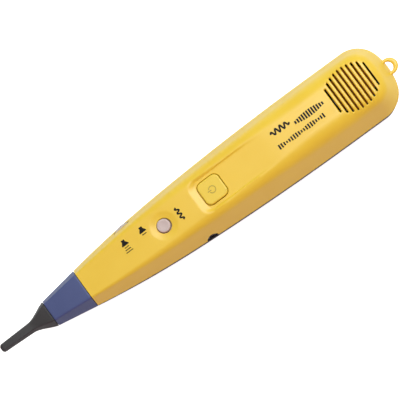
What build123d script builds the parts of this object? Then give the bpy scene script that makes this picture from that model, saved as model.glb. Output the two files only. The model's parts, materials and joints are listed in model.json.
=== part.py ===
from build123d import *
import math
import os

# Tone probe: a long moulded wand that lies on its back.
# Working axes: x runs from the sensing tip to the lanyard loop, y across, z up through the
# front face from the plane where the two shells part. Every node is written with its origin
# under the middle of the length, on the plane that the back rests on. Millimetres.

# ---- overall sizes ----
LENGTH = 249.0
HALF_WIDTH = 20.3
FRONT_DEPTH = 15.6
BACK_DEPTH = 17.4
TIP_JOINT_X = 31.2
NOSE_JOINT_X = 53.2
NOSE_HALF_WIDTH = 11.05
BODY_END_X = 243.8
FULL_WIDTH_X = 205.0
SHOULDER = (110.0, 17.35)
OUTLINE_START_X = 20.0
FORM_START_X = 29.0

# ---- curves of the outer form ----
END_CORNER_R = 15.0
END_DOME_R = 34.0
FRONT_CREST_X = 195.0
FRONT_ARC_R = 1316.0
BACK_FLAT_X = 115.0
BACK_ARC_R = 305.0
FRONT_DRAFT = 24.5
BACK_DRAFT = 8.0
FRONT_EDGE_R = 3.0
BACK_EDGE_R = 5.0
INNER_EDGE_R = 0.4
FAR = 60.0

# ---- walls and the joint between the shells ----
WALL = 2.0
REBATE_INSET = 1.1
REBATE_HEIGHT = 1.6
LIP_INSET = 1.2
LIP_INNER = 2.2
LIP_HEIGHT = 1.4
SEAM_WIDTH = 0.3
SEAM_DEPTH = 0.35
JOINT_GAP = 0.1
NOSE_GAP = 0.3
TIP_GAP = 0.25

# ---- nose collar and the sleeve that it slides over ----
COLLAR_INNER = 1.8
COLLAR_FRONT_WALL = 2.3
SLEEVE_OUTER = 1.9
SLEEVE_INNER = 3.2
SLEEVE_START_X = 45.0
SLEEVE_STEP_X = 55.5

# ---- sensing tip: distance from the end, half width ----
TIP_STATIONS = [(0.0, 2.15), (4.1, 2.45), (12.2, 2.75), (20.3, 3.3), (24.4, 4.7), (28.4, 6.5)]
TIP_FLATNESS = 0.8
TIP_END_R = 1.5
TIP_ROOT_R = 4.2
TIP_ROOT_END_X = 41.0
TIP_GROOVE_X = 37.0
ROOT_HOLE_R = 4.3
ANTENNA_R = 0.8
ANTENNA_HEAD_R = 1.5
ANTENNA_START_X = 8.0
ANTENNA_END_X = 46.0

# ---- buttons ----
POWER_X = 134.7
POWER_SIZE = 12.9
POWER_CORNER_R = 3.0
POWER_STAND = 0.75
POWER_FLANGE = 15.0
FILTER_X = 104.0
FILTER_R = 3.55
FILTER_FLANGE_R = 4.4
DISH_R = 7.3
DISH_DEPTH = 0.9
BUTTON_GAP = 0.2
SYMBOL_R = 2.05
SYMBOL_LINE = 0.45
SYMBOL_DEPTH = 0.25

# ---- thumb recess in front of and behind the power button ----
RECESS_FLOOR_START = (127.6, 12.72)
RECESS_FLOOR_END = (176.0, 15.64)
RECESS_HALF_WIDTH = 8.4
RECESS_CORNER_R = 3.4
RECESS_RISE = 2.5
RECESS_SIDE_SPREAD = 2.8
RECESS_NOSE_SPREAD = 7.2
RECESS_PAD_BOTTOM = 11.2

# ---- speaker and its grille ----
SPEAKER_X = 222.2
SPEAKER_R = 13.0
SPEAKER_RIM_TOP = 9.3
GRILLE_SLOTS = 10
GRILLE_PITCH = 2.65
GRILLE_SLOT_WIDTH = 1.1
GRILLE_HALF_LENGTH = 12.0
GRILLE_REACH = 15.0
RETAINER_SCREWS = [(206.5, 8.0), (206.5, -8.0), (237.4, 0.0)]
RETAINER_BOSS_R = 2.0
RETAINER_EAR_R = 2.2
RETAINER_THICK = 1.0
RETAINER_SCREW_R = 0.75
RETAINER_SCREW_LENGTH = 4.6
RETAINER_HEAD_R = 1.5
RETAINER_HEAD_HEIGHT = 1.0
SPEAKER_RIM_THICK = 0.8

# ---- circuit board ----
BOARD_TOP = -2.6
BOARD_THICK = 1.6
BOARD_START_X = 60.0
BOARD_NECK_X = 129.5
BOARD_END_X = 143.0
BOARD_NECK_HALF = 8.2
BOARD_SCREWS = [(66.0, 0.0), (110.0, 11.0), (110.0, -11.0)]
SWITCH_SIZE = 6.0
SWITCH_HEIGHT = 3.5
PLUNGER_R = 1.7
PLUNGER_TOP = 1.7

# ---- volume wheel ----
WHEEL_X = 86.5
WHEEL_Y = 6.9
WHEEL_R = 8.0
WHEEL_BOTTOM = 1.2
WHEEL_TOP = 4.0
WHEEL_TEETH = 40
SHAFT_R = 1.5

# ---- headset jack ----
JACK_X = 120.7
JACK_FACE_Y = -17.0
JACK_BODY_Y = -14.4
JACK_BODY_END_Y = -2.2
JACK_BORE_R = 1.8
JACK_BORE_DEPTH = 14.0
JACK_COLLAR_R = 2.75

# ---- lanyard loop ----
LOOP_OUTER = (5.2, 4.5)
LOOP_INNER = (2.4, 2.75)
LOOP_THICK = 2.0
LOOP_EDGE_R = 0.7
LOOP_Z = 1.2

# ---- battery compartment ----
BATTERY_X0 = 155.0
BATTERY_X1 = 201.4
BATTERY_HALF_WIDTH = 13.25
BATTERY_BOTTOM = -15.2
BATTERY_TOP = 2.3
DOOR_X0 = 141.0
DOOR_X1 = 205.0
DOOR_HALF_WIDTH = 14.0
DOOR_GAP = 0.25
DOOR_SEAT_Z = -15.9
HINGE_X = 142.0
HINGE_Z = -16.4
HINGE_HALF_WIDTH = 13.3
OPENING_HALF_WIDTH = 13.5
BATTERY_RIBS_X = (166.0, 190.0)
RIB_THICK = 1.2
TERMINAL_Y = 6.35
SNAP_X = (149.0, 151.4)

# ---- screws ----
CASE_SCREWS = [(134.0, 11.5), (134.0, -11.5), (208.5, 14.0), (208.5, -14.0)]
CASE_BOSS_R = 2.8
CASE_HEAD_HOLE_R = 2.4
CASE_HEAD_Z = -9.0
CASE_SCREW_R = 1.0
CASE_SCREW_TOP = 7.5
CASE_SCREW_HEAD_R = 2.0

# ---- internal leads: points along one wire of each pair ----
BATTERY_LEAD_R = 0.6
BATTERY_LEAD_ROUTE = [
    (149.0, 4.6, -2.6),
    (145.6, 4.6, -2.6),
    (142.8, 5.0, -1.1),
    (139.8, 6.0, -1.2),
    (136.6, 6.5, -1.9),
]
SPEAKER_LEAD_R = 0.5
SPEAKER_LEAD_ROUTE = [
    (208.6, 3.0, 6.8),
    (203.0, 2.6, 5.6),
    (190.0, 4.2, 3.9),
    (172.0, 5.0, 3.7),
    (158.0, 3.6, 3.6),
    (149.0, 2.6, 1.2),
    (143.8, 2.2, -0.9),
    (139.6, 1.8, -2.0),
]


# ---- small helpers ----
def block(x0, x1, y0, y1, z0, z1):
    """Box between two opposite corners."""
    return Pos(x0, y0, z0) * Box(x1 - x0, y1 - y0, z1 - z0, align=(Align.MIN,) * 3)


def post(x, y, radius, z0, z1):
    """Upright cylinder from z0 to z1."""
    return Pos(x, y, (z0 + z1) / 2) * Cylinder(radius, z1 - z0)


def rod_x(x0, x1, radius, y=0.0, z=0.0):
    """Cylinder along x from x0 to x1."""
    return Pos((x0 + x1) / 2, y, z) * Rot(0, 90, 0) * Cylinder(radius, x1 - x0)


def rod_y(y0, y1, radius, x=0.0, z=0.0):
    """Cylinder along y from y0 to y1."""
    return Pos(x, (y0 + y1) / 2, z) * Rot(90, 0, 0) * Cylinder(radius, y1 - y0)


def front_height(x):
    """Height of the front face's arc above the parting plane."""
    return FRONT_DEPTH - (FRONT_ARC_R - math.sqrt(FRONT_ARC_R**2 - (x - FRONT_CREST_X) ** 2))


def back_height(x):
    """Height of the back: flat behind BACK_FLAT_X, an arc that rises towards the nose before it."""
    reach = max(BACK_FLAT_X - x, 0.0)
    return -BACK_DEPTH + BACK_ARC_R - math.sqrt(BACK_ARC_R**2 - reach**2)


# ---- the outer form ----
def outline_face():
    """Outline of the wand at the parting plane, run well past the middle line on the -y side."""
    widest = (FULL_WIDTH_X, HALF_WIDTH)
    rear = TangentArc(widest, SHOULDER, tangent=(-1, 0))
    front = TangentArc(rear @ 1, (NOSE_JOINT_X, NOSE_HALF_WIDTH), tangent=rear % 1)
    slope = (front % 1).Y / (front % 1).X
    start_y = NOSE_HALF_WIDTH + slope * (OUTLINE_START_X - NOSE_JOINT_X)
    nose = Line(front @ 1, (OUTLINE_START_X, start_y))
    # The end dome is tangent to each corner arc, and each corner arc to the straight side.
    dome_x = BODY_END_X - END_DOME_R
    corner_y = HALF_WIDTH - END_CORNER_R
    corner_x = dome_x + math.sqrt((END_DOME_R - END_CORNER_R) ** 2 - corner_y**2)
    reach = END_DOME_R / (END_DOME_R - END_CORNER_R)
    touch = (dome_x + (corner_x - dome_x) * reach, corner_y * reach)
    corner = RadiusArc((corner_x, HALF_WIDTH), touch, END_CORNER_R)
    dome = RadiusArc(touch, (BODY_END_X, 0), END_DOME_R)
    side = Line(widest, (corner_x, HALF_WIDTH))
    below = -FAR / 2
    closing = [
        Line((BODY_END_X, 0), (BODY_END_X, below)),
        Line((BODY_END_X, below), (OUTLINE_START_X, below)),
        Line((OUTLINE_START_X, below), nose @ 1),
    ]
    return make_face(Curve() + [nose, front, rear, side, corner, dome] + closing)


def side_face():
    """Side view of the wand in the xz plane: front arc above, flat back and its arc below."""
    start, end = OUTLINE_START_X, BODY_END_X + FAR / 4
    middle = (start + end) / 2
    back_middle = (start + BACK_FLAT_X) / 2
    top = ThreePointArc(
        (start, 0, front_height(start)), (middle, 0, front_height(middle)), (end, 0, front_height(end))
    )
    back = ThreePointArc(
        (BACK_FLAT_X, 0, -BACK_DEPTH),
        (back_middle, 0, back_height(back_middle)),
        (start, 0, back_height(start)),
    )
    closing = [
        Line(top @ 1, (end, 0, -BACK_DEPTH)),
        Line((end, 0, -BACK_DEPTH), back @ 0),
        Line(back @ 1, top @ 0),
    ]
    return make_face(Curve() + [top, back] + closing)


def rim_edges(solid, sign):
    """Edges round the front (sign 1) or back (sign -1) surface, except at the cut nose end."""
    faces = [f for f in solid.faces() if f.normal_at(f.center()).Z * sign > 0.5]
    edges = []
    for face in faces:
        for edge in face.edges():
            shared = sum(edge.is_same(other) for f in faces for other in f.edges())
            if shared == 1 and edge.center().X > FORM_START_X + 0.01:
                edges.append(edge)
    return edges


forms = {}


def form(inset):
    """The wand's outer shape, moved inwards by inset, from the root of the tip to the end."""
    if inset in forms:
        return forms[inset]
    outline = outline_face()
    side = side_face()
    if inset > 0:
        outline = offset(outline, -inset, kind=Kind.INTERSECTION)
        side = offset(side, -inset, kind=Kind.INTERSECTION)
    half = extrude(outline, amount=FRONT_DEPTH + 2.4, taper=FRONT_DRAFT)
    half += extrude(outline, amount=-BACK_DEPTH - 2.6, taper=BACK_DRAFT)
    half &= block(FORM_START_X, LENGTH + FAR, 0, FAR, -FAR, FAR)
    half &= extrude(side, amount=FAR, both=True)
    whole = half + mirror(half, about=Plane.XZ)
    whole = fillet(rim_edges(whole, 1), max(FRONT_EDGE_R - inset, INNER_EDGE_R))
    whole = fillet(rim_edges(whole, -1), BACK_EDGE_R - inset)
    forms[inset] = whole
    return whole


def layer(outer, inner, x0, x1, z0, z1):
    """Slice of the wall between two insets of the form."""
    window = block(x0, x1, -FAR, FAR, z0, z1)
    return (form(outer) & window) - (form(inner) & window)


# ---- front shell ----
def thumb_recess():
    """Shallow tray whose floor climbs to meet the front face behind the power button."""
    run = RECESS_FLOOR_END[0] - RECESS_FLOOR_START[0]
    tilt = math.degrees(math.atan2(RECESS_FLOOR_END[1] - RECESS_FLOOR_START[1], run))
    middle_x = (RECESS_FLOOR_START[0] + RECESS_FLOOR_END[0]) / 2
    middle_z = (RECESS_FLOOR_START[1] + RECESS_FLOOR_END[1]) / 2
    floor_place = Pos(middle_x, 0, middle_z) * Rot(0, -tilt, 0)
    floor = floor_place * RectangleRounded(run, 2 * RECESS_HALF_WIDTH, RECESS_CORNER_R)
    rim_run = run + 2 * RECESS_NOSE_SPREAD
    rim_width = 2 * (RECESS_HALF_WIDTH + RECESS_SIDE_SPREAD)
    rim_corner = RECESS_CORNER_R + RECESS_SIDE_SPREAD
    rim = floor_place * Pos(0, 0, RECESS_RISE) * RectangleRounded(rim_run, rim_width, rim_corner)
    return loft([floor, rim], ruled=True)


def grille_slots():
    """Straight slots across the front, shorter towards both ends so that they fill an oval."""
    slots = []
    middle = (GRILLE_SLOTS - 1) / 2
    for i in range(GRILLE_SLOTS):
        dx = (i - middle) * GRILLE_PITCH
        half = GRILLE_HALF_LENGTH * math.sqrt(1 - (dx / GRILLE_REACH) ** 2)
        outline = Pos(SPEAKER_X + dx, 0, 12.0) * Rot(0, 0, 90) * SlotOverall(2 * half, GRILLE_SLOT_WIDTH)
        slots.append(extrude(outline, amount=5.0))
    return slots


def lanyard_loop():
    """Flat arch with soft edges that stands out of the end wall, wider than the hole in it."""
    arch = extrude(Ellipse(*LOOP_OUTER) - Ellipse(*LOOP_INNER), amount=LOOP_THICK / 2, both=True)
    arch = fillet(arch.edges(), LOOP_EDGE_R)
    arch = Pos(BODY_END_X, 0, LOOP_Z) * arch
    return arch & block(BODY_END_X - 1.0, LENGTH + 1, -FAR, FAR, 0, FAR)


def front_shell():
    """Moulded front half: face with the buttons and the grille, down to the parting plane."""
    shell = layer(0, WALL, NOSE_JOINT_X, LENGTH, 0, FRONT_DEPTH + 1)
    shell -= layer(REBATE_INSET, WALL + 1.2, NOSE_JOINT_X - 1, LENGTH, -1, REBATE_HEIGHT)
    shell += layer(WALL - 0.1, SLEEVE_INNER, NOSE_JOINT_X, SLEEVE_STEP_X, REBATE_HEIGHT, FRONT_DEPTH)
    shell += layer(SLEEVE_OUTER, SLEEVE_INNER, SLEEVE_START_X, SLEEVE_STEP_X, JOINT_GAP, FRONT_DEPTH)
    inside = form(0.6)
    ribs = post(SPEAKER_X, 0, SPEAKER_R, SPEAKER_RIM_TOP + 0.4, FRONT_DEPTH)
    ribs -= post(SPEAKER_X, 0, SPEAKER_R - 1.5, SPEAKER_RIM_TOP, FRONT_DEPTH + 1)
    pad = (POWER_X - 13.0, POWER_X + 17.0, -11.5, 11.5, RECESS_PAD_BOTTOM, FRONT_DEPTH)
    ribs += block(*pad)
    for x, y in CASE_SCREWS:
        ribs += post(x, y, CASE_BOSS_R, 0, FRONT_DEPTH)
    for x, y in RETAINER_SCREWS:
        ribs += post(x, y, RETAINER_BOSS_R, SPEAKER_RIM_TOP - SPEAKER_RIM_THICK, FRONT_DEPTH)
    for x in BATTERY_RIBS_X:
        rib = block(x, x + RIB_THICK, -10.0, 10.0, BATTERY_TOP + 0.2, FRONT_DEPTH)
        rib -= block(x - 1, x + 3, -6.5, 6.5, 0, 6.2)
        ribs += rib
    shell += ribs & inside
    shell -= post(FILTER_X, 0, FILTER_R + BUTTON_GAP, 0, FRONT_DEPTH)
    dish_floor = front_height(FILTER_X) - DISH_DEPTH
    sphere_r = (DISH_R**2 + DISH_DEPTH**2) / (2 * DISH_DEPTH)
    shell -= Pos(FILTER_X, 0, dish_floor + sphere_r) * Sphere(sphere_r)
    shell -= thumb_recess()
    hole = RectangleRounded(
        POWER_SIZE + 2 * BUTTON_GAP, POWER_SIZE + 2 * BUTTON_GAP, POWER_CORNER_R + BUTTON_GAP
    )
    shell -= Pos(POWER_X, 0, 8.0) * extrude(hole, amount=10.0)
    for slot in grille_slots():
        shell -= slot
    shell -= post(WHEEL_X, WHEEL_Y, WHEEL_R + 0.4, WHEEL_BOTTOM - 0.4, WHEEL_TOP + 0.4)
    shell -= rod_y(-FAR, -10.0, JACK_COLLAR_R + 0.15, JACK_X)
    for x, y in CASE_SCREWS:
        shell -= post(x, y, CASE_SCREW_R + 0.1, -1, CASE_SCREW_TOP + 1.5)
    ear_bottom = SPEAKER_RIM_TOP - SPEAKER_RIM_THICK - RETAINER_THICK
    bore_top = ear_bottom + RETAINER_SCREW_LENGTH + 0.4
    head_low = ear_bottom - RETAINER_HEAD_HEIGHT - 0.5
    for x, y in RETAINER_SCREWS:
        shell -= post(x, y, RETAINER_SCREW_R + 0.1, ear_bottom, bore_top)
        shell -= post(x, y, RETAINER_HEAD_R + 0.25, head_low, ear_bottom + 0.1)
    seam = layer(0, SEAM_DEPTH, NOSE_JOINT_X - 1, LENGTH, -1, SEAM_WIDTH / 2)
    return (shell - seam) + lanyard_loop()


# ---- back shell ----
def back_shell():
    """Moulded back half with the battery compartment, the screw bosses and the locating lip."""
    shell = layer(0, WALL, NOSE_JOINT_X, LENGTH, -BACK_DEPTH - 1, 0)
    lip = layer(LIP_INSET, LIP_INNER, NOSE_JOINT_X + 3.4, LENGTH, -1.5, LIP_HEIGHT)
    lip -= block(WHEEL_X - 8.4, WHEEL_X + 8.4, 5.0, FAR, 0.4, 3.0)
    lip -= block(JACK_X - 4.6, JACK_X + 4.6, -FAR, -5.0, -0.5, 3.0)
    shell += lip
    low = -BACK_DEPTH
    shell += layer(WALL - 0.1, SLEEVE_INNER, NOSE_JOINT_X, SLEEVE_STEP_X, low, 0)
    shell += layer(SLEEVE_OUTER, SLEEVE_INNER, SLEEVE_START_X, SLEEVE_STEP_X, low, -JOINT_GAP)
    inside = form(0.6)
    ribs = Part()
    for side in (-1, 1):
        y0, y1 = sorted((side * OPENING_HALF_WIDTH, side * (OPENING_HALF_WIDTH + RIB_THICK)))
        ribs += block(DOOR_X0 - 1.0, DOOR_X1 + RIB_THICK, y0, y1, DOOR_SEAT_Z, -6.0)
    ribs += block(146.0, 147.5, -OPENING_HALF_WIDTH, OPENING_HALF_WIDTH, -14.8, -1.0)
    ribs += block(DOOR_X1, DOOR_X1 + RIB_THICK, -OPENING_HALF_WIDTH, OPENING_HALF_WIDTH, low, -2.0)
    for x, y in CASE_SCREWS:
        ribs += post(x, y, CASE_BOSS_R, low, 0)
    for x, y in BOARD_SCREWS:
        ribs += post(x, y, 2.2, low, BOARD_TOP - BOARD_THICK)
    ribs -= block(145.0, 148.5, -7.0, 7.0, -5.0, 0)
    shell += ribs & inside
    opening = block(DOOR_X0, DOOR_X1, -OPENING_HALF_WIDTH, OPENING_HALF_WIDTH, low - 1, -15.0)
    seat_half = DOOR_HALF_WIDTH + 0.2
    shell -= opening
    shell -= block(DOOR_X0, DOOR_X1, -seat_half, seat_half, low - 1, DOOR_SEAT_Z)
    shell -= block(DOOR_X1 - 1, DOOR_X1 + 3.4, -5.0, 5.0, low - 1, low + 0.9)
    for x, y in CASE_SCREWS:
        shell -= post(x, y, CASE_HEAD_HOLE_R, low - 1, CASE_HEAD_Z)
        shell -= post(x, y, CASE_SCREW_R + 0.2, CASE_HEAD_Z - 1, 1)
    for x, y in BOARD_SCREWS:
        shell -= post(x, y, 0.75, BOARD_TOP - BOARD_THICK - 6.0, 0)
    shell -= rod_y(-FAR, -10.0, JACK_COLLAR_R + 0.15, JACK_X)
    seam = layer(0, SEAM_DEPTH, NOSE_JOINT_X - 1, LENGTH, -SEAM_WIDTH / 2, 1)
    return shell - seam


# ---- battery door ----
def battery_door():
    """Flat cover over the battery, with a half-round end and two hooks on its hinge line."""
    x0, x1 = HINGE_X, DOOR_X1 - 0.3
    window = block(x0, x1, -DOOR_HALF_WIDTH, DOOR_HALF_WIDTH, -BACK_DEPTH, DOOR_SEAT_Z - 0.05)
    door = form(DOOR_GAP) & window
    end_r = HINGE_Z + BACK_DEPTH - DOOR_GAP
    door += rod_y(-HINGE_HALF_WIDTH, HINGE_HALF_WIDTH, end_r, HINGE_X, HINGE_Z)
    for y in (-8.0, 8.0):
        neck = block(HINGE_X - 0.5, HINGE_X + 1.3, y - 2.5, y + 2.5, HINGE_Z, -14.3)
        hook = block(138.6, HINGE_X + 1.3, y - 2.5, y + 2.5, -15.3, -14.3)
        door += neck + hook
    for y in (-11.0, 0.0, 11.0):
        door += block(HINGE_X + 4.0, x1 - 5.0, y - 0.5, y + 0.5, DOOR_SEAT_Z - 0.1, -15.4)
    latch_z = -BACK_DEPTH + DOOR_GAP
    door += block(x1 - 1.0, DOOR_X1 + 3.1, -4.7, 4.7, latch_z, latch_z + 0.55)
    for i in range(5):
        x = x1 - 4.0 - 1.6 * i
        door -= rod_y(-7.0, 7.0, 0.4, x, latch_z - 0.1)
    return door


# ---- nose collar and tip ----
def nose_collar():
    """Blue sleeve that closes both shells at the nose and carries the tip in its front wall."""
    end_x = NOSE_JOINT_X - NOSE_GAP
    solid = form(0) & block(TIP_JOINT_X, end_x, -FAR, FAR, -FAR, FAR)
    cavity = form(COLLAR_INNER) & block(TIP_JOINT_X + COLLAR_FRONT_WALL, LENGTH, -FAR, FAR, -FAR, FAR)
    guide = rod_x(TIP_JOINT_X + 0.5, TIP_ROOT_END_X, TIP_ROOT_R + 1.3) & form(0.5)
    collar = (solid - cavity) + guide
    collar -= rod_x(TIP_JOINT_X - 1, TIP_ROOT_END_X + 1, ROOT_HOLE_R)
    return collar - post(TIP_GROOVE_X, 0, 0.85, -FAR, 0)


def tip_section(root, half_width, x):
    """The root section at the tip joint, scaled to a half width and moved to x."""
    wide = half_width / root.bounding_box().max.Y
    centred = Pos(-TIP_JOINT_X, 0, 0) * root
    return Pos(x, 0, 0) * scale(centred, by=(1, wide, wide**TIP_FLATNESS))


def probe_tip():
    """Slim sensing tip that flares out to the nose, with a stub that plugs into the collar."""
    window = block(TIP_JOINT_X, TIP_JOINT_X + 1, -FAR, FAR, -FAR, FAR)
    root = (form(0) & window).faces().sort_by(Axis.X)[0]
    stations = TIP_STATIONS + [(TIP_JOINT_X - TIP_GAP, root.bounding_box().max.Y)]
    sections = [tip_section(root, w, x) for x, w in stations]
    tip = loft(sections)
    tip = fillet(tip.faces().sort_by(Axis.X)[0].edges(), TIP_END_R)
    tip += rod_x(TIP_JOINT_X - 0.5, TIP_ROOT_END_X, TIP_ROOT_R)
    groove = rod_x(TIP_GROOVE_X - 1.0, TIP_GROOVE_X + 1.0, TIP_ROOT_R + 1)
    groove -= rod_x(TIP_GROOVE_X - 1.0, TIP_GROOVE_X + 1.0, TIP_ROOT_R - 0.8)
    tip -= groove
    return tip - rod_x(ANTENNA_START_X - 0.2, TIP_ROOT_END_X + 1, ANTENNA_R + 0.05)


def antenna_rod():
    """Brass sensing rod down the middle of the tip, with a flat contact head."""
    rod = rod_x(ANTENNA_START_X, ANTENNA_END_X, ANTENNA_R)
    return rod + rod_x(ANTENNA_END_X - 2.0, ANTENNA_END_X, ANTENNA_HEAD_R)


def tip_set_screw():
    """Headless screw from below, whose point sits in the groove of the tip's stub."""
    bottom = back_height(TIP_GROOVE_X) + 0.5
    screw = post(TIP_GROOVE_X, 0, 0.8, bottom, -TIP_ROOT_R + 0.75)
    slot = block(TIP_GROOVE_X - 1, TIP_GROOVE_X + 1, -0.15, 0.15, bottom - 1, bottom + 0.5)
    return screw - slot


def contact_spring():
    """Coil spring that presses on the rod's head and carries its signal to the board."""
    start_x = ANTENNA_END_X + 0.2
    length = 7.6
    path = Helix(pitch=1.25, height=length - 0.6, radius=1.2)
    wire = Pos(start_x + 0.3, 0, 0) * Rot(0, 90, 0) * sweep(
        Plane(origin=path @ 0, z_dir=path % 0) * Circle(0.2), path=path, is_frenet=True
    )
    return wire


def contact_bracket():
    """Bent metal tab soldered to the front edge of the board, with a cup for the spring."""
    face_x = ANTENNA_END_X + 8.0
    tab = block(face_x, face_x + 0.4, -2.5, 2.5, -2.5, 2.2)
    strip = block(face_x, BOARD_START_X + 2.6, -1.5, 1.5, BOARD_TOP, BOARD_TOP + 0.4)
    return tab + strip


# ---- buttons ----
def recess_floor_at(x):
    """Height of the thumb recess's floor."""
    run = RECESS_FLOOR_END[0] - RECESS_FLOOR_START[0]
    slope = (RECESS_FLOOR_END[1] - RECESS_FLOOR_START[1]) / run
    return RECESS_FLOOR_START[1] + slope * (x - RECESS_FLOOR_START[0])


def power_button():
    """Square key with soft edges, a sunk on/off sign, an inner flange and a post to its switch."""
    top = recess_floor_at(POWER_X) + POWER_STAND
    run = RECESS_FLOOR_END[0] - RECESS_FLOOR_START[0]
    tilt = math.degrees(math.atan2(RECESS_FLOOR_END[1] - RECESS_FLOOR_START[1], run))
    flange_top = RECESS_PAD_BOTTOM - 0.15
    outline = RectangleRounded(POWER_SIZE, POWER_SIZE, POWER_CORNER_R)
    key = Pos(POWER_X, 0, flange_top - 0.5) * extrude(outline, amount=6.0)
    lid = Pos(POWER_X, 0, top) * Rot(0, -tilt, 0)
    key -= lid * Box(40, 40, 10, align=(Align.CENTER, Align.CENTER, Align.MIN))
    upper = key.faces().sort_by(Axis.Z)[-1]
    key = fillet(upper.edges(), 0.7)
    ring = Cylinder(SYMBOL_R, 1.0) - Cylinder(SYMBOL_R - SYMBOL_LINE, 2.0)
    gap = Pos(-SYMBOL_R, 0, 0) * Box(2 * SYMBOL_R, 1.5, 3.0)
    bar = Pos(-SYMBOL_R + 0.4, 0, 0) * Box(2.1, SYMBOL_LINE, 1.0)
    sign = (ring - gap) + bar
    key -= lid * Pos(0, 0, 0.5 - SYMBOL_DEPTH) * sign
    flange = RectangleRounded(POWER_FLANGE, POWER_FLANGE, POWER_CORNER_R)
    key += Pos(POWER_X, 0, flange_top - 1.0) * extrude(flange, amount=1.0)
    return key + post(POWER_X, 0, 2.4, PLUNGER_TOP + 0.05, flange_top - 0.5)


def filter_button():
    """Round cap with a shallow dished top, an inner flange and a post to its switch."""
    top = front_height(FILTER_X) + 0.1
    flange_top = front_height(FILTER_X - FILTER_FLANGE_R) - WALL - 0.15
    cap = post(FILTER_X, 0, FILTER_R, flange_top - 0.5, top)
    cap = fillet(cap.edges().sort_by(Axis.Z)[-1], 0.7)
    cap -= Pos(FILTER_X, 0, top + 11.8) * Sphere(12.0)
    cap += post(FILTER_X, 0, FILTER_FLANGE_R, flange_top - 1.0, flange_top)
    return cap + post(FILTER_X, 0, 2.2, PLUNGER_TOP + 0.05, flange_top - 0.5)


def switch_body(x):
    """Square push switch on the board, with a metal frame on top and four feet."""
    half = SWITCH_SIZE / 2
    body_top = BOARD_TOP + SWITCH_HEIGHT
    body = block(x - half, x + half, -half, half, BOARD_TOP + 0.1, body_top)
    body = chamfer(body.edges().filter_by(Axis.Z), 0.5)
    for side_x in (-1, 1):
        for side_y in (-1, 1):
            foot_x = x + side_x * half
            foot_y = side_y * 2.0
            body += block(foot_x - 0.6, foot_x + 0.6, foot_y - 0.35, foot_y + 0.35, BOARD_TOP, -2.2)
    return body - post(x, 0, PLUNGER_R + 0.1, body_top - 1.2, body_top + 1)


def switch_plunger(x):
    """Round plunger that slides in the switch's top."""
    bottom = BOARD_TOP + SWITCH_HEIGHT - 0.4
    plunger = post(x, 0, PLUNGER_R, bottom, PLUNGER_TOP)
    return fillet(plunger.edges().sort_by(Axis.Z)[-1], 0.2)


# ---- volume control ----
def volume_wheel():
    """Thumb wheel with a toothed rim that stands out of the side wall."""
    wheel = post(WHEEL_X, WHEEL_Y, WHEEL_R, WHEEL_BOTTOM, WHEEL_TOP)
    wheel = chamfer(wheel.edges(), 0.25)
    for i in range(WHEEL_TEETH):
        angle = 2 * math.pi * i / WHEEL_TEETH
        x = WHEEL_X + WHEEL_R * math.cos(angle)
        y = WHEEL_Y + WHEEL_R * math.sin(angle)
        wheel -= post(x, y, 0.3, WHEEL_BOTTOM - 1, WHEEL_TOP + 1)
    wheel -= post(WHEEL_X, WHEEL_Y, WHEEL_R - 1.6, WHEEL_TOP - 0.8, WHEEL_TOP + 1)
    wheel += post(WHEEL_X, WHEEL_Y, 3.0, WHEEL_TOP - 1.0, WHEEL_TOP)
    wheel += block(WHEEL_X - 0.4, WHEEL_X + 0.4, WHEEL_Y + 2.0, WHEEL_Y + 6.8, WHEEL_TOP - 1, WHEEL_TOP)
    return wheel - post(WHEEL_X, WHEEL_Y, SHAFT_R + 0.05, WHEEL_BOTTOM - 1, WHEEL_TOP + 1)


def volume_pot():
    """Rotary potentiometer on the board, whose shaft the wheel turns on."""
    pot = post(WHEEL_X, WHEEL_Y, 4.8, BOARD_TOP, WHEEL_BOTTOM - 0.4)
    pot += post(WHEEL_X, WHEEL_Y, SHAFT_R, WHEEL_BOTTOM - 1.0, WHEEL_TOP + 0.4)
    slot = block(WHEEL_X - 2, WHEEL_X + 2, WHEEL_Y - 0.25, WHEEL_Y + 0.25, WHEEL_TOP, WHEEL_TOP + 1)
    for dy in (-1.8, 0.0, 1.8):
        foot_y = WHEEL_Y + dy
        pot += block(WHEEL_X - 7.0, WHEEL_X - 4.0, foot_y - 0.3, foot_y + 0.3, BOARD_TOP, -2.1)
    return pot - slot


# ---- headset jack ----
def headset_jack():
    """Socket for a small headset plug: square body on the board, round collar through the wall."""
    body = block(JACK_X - 3.2, JACK_X + 3.2, JACK_BODY_Y, JACK_BODY_END_Y, BOARD_TOP, 2.6)
    body = chamfer(body.edges().filter_by(Axis.Y), 0.4)
    collar = rod_y(JACK_FACE_Y, JACK_BODY_Y, JACK_COLLAR_R, JACK_X)
    collar = chamfer(collar.edges().sort_by(Axis.Y)[0], 0.3)
    socket = rod_y(JACK_FACE_Y, JACK_FACE_Y + JACK_BORE_DEPTH, JACK_BORE_R, JACK_X)
    pins = Part()
    for y in (-12.5, -5.0):
        for side in (-1, 1):
            pin_x = JACK_X + side * 3.6
            pins += block(pin_x - 0.6, pin_x + 0.6, y - 0.4, y + 0.4, BOARD_TOP, BOARD_TOP + 0.4)
    return body + collar + pins - socket


# ---- circuit board and what is soldered to it ----
def circuit_board():
    """Board that follows the inside of the shell, narrower where the screw bosses pass it."""
    low = BOARD_TOP - BOARD_THICK
    board = form(WALL + 0.6) & block(BOARD_START_X, BOARD_NECK_X, -FAR, FAR, low, BOARD_TOP)
    board += block(BOARD_NECK_X - 1, BOARD_END_X, -BOARD_NECK_HALF, BOARD_NECK_HALF, low, BOARD_TOP)
    board -= block(JACK_X - 3.5, JACK_X + 3.5, -FAR, JACK_BODY_Y + 0.1, low - 1, BOARD_TOP + 1)
    for x, y in BOARD_SCREWS:
        board -= post(x, y, 1.05, low - 1, BOARD_TOP + 1)
    return board


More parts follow.
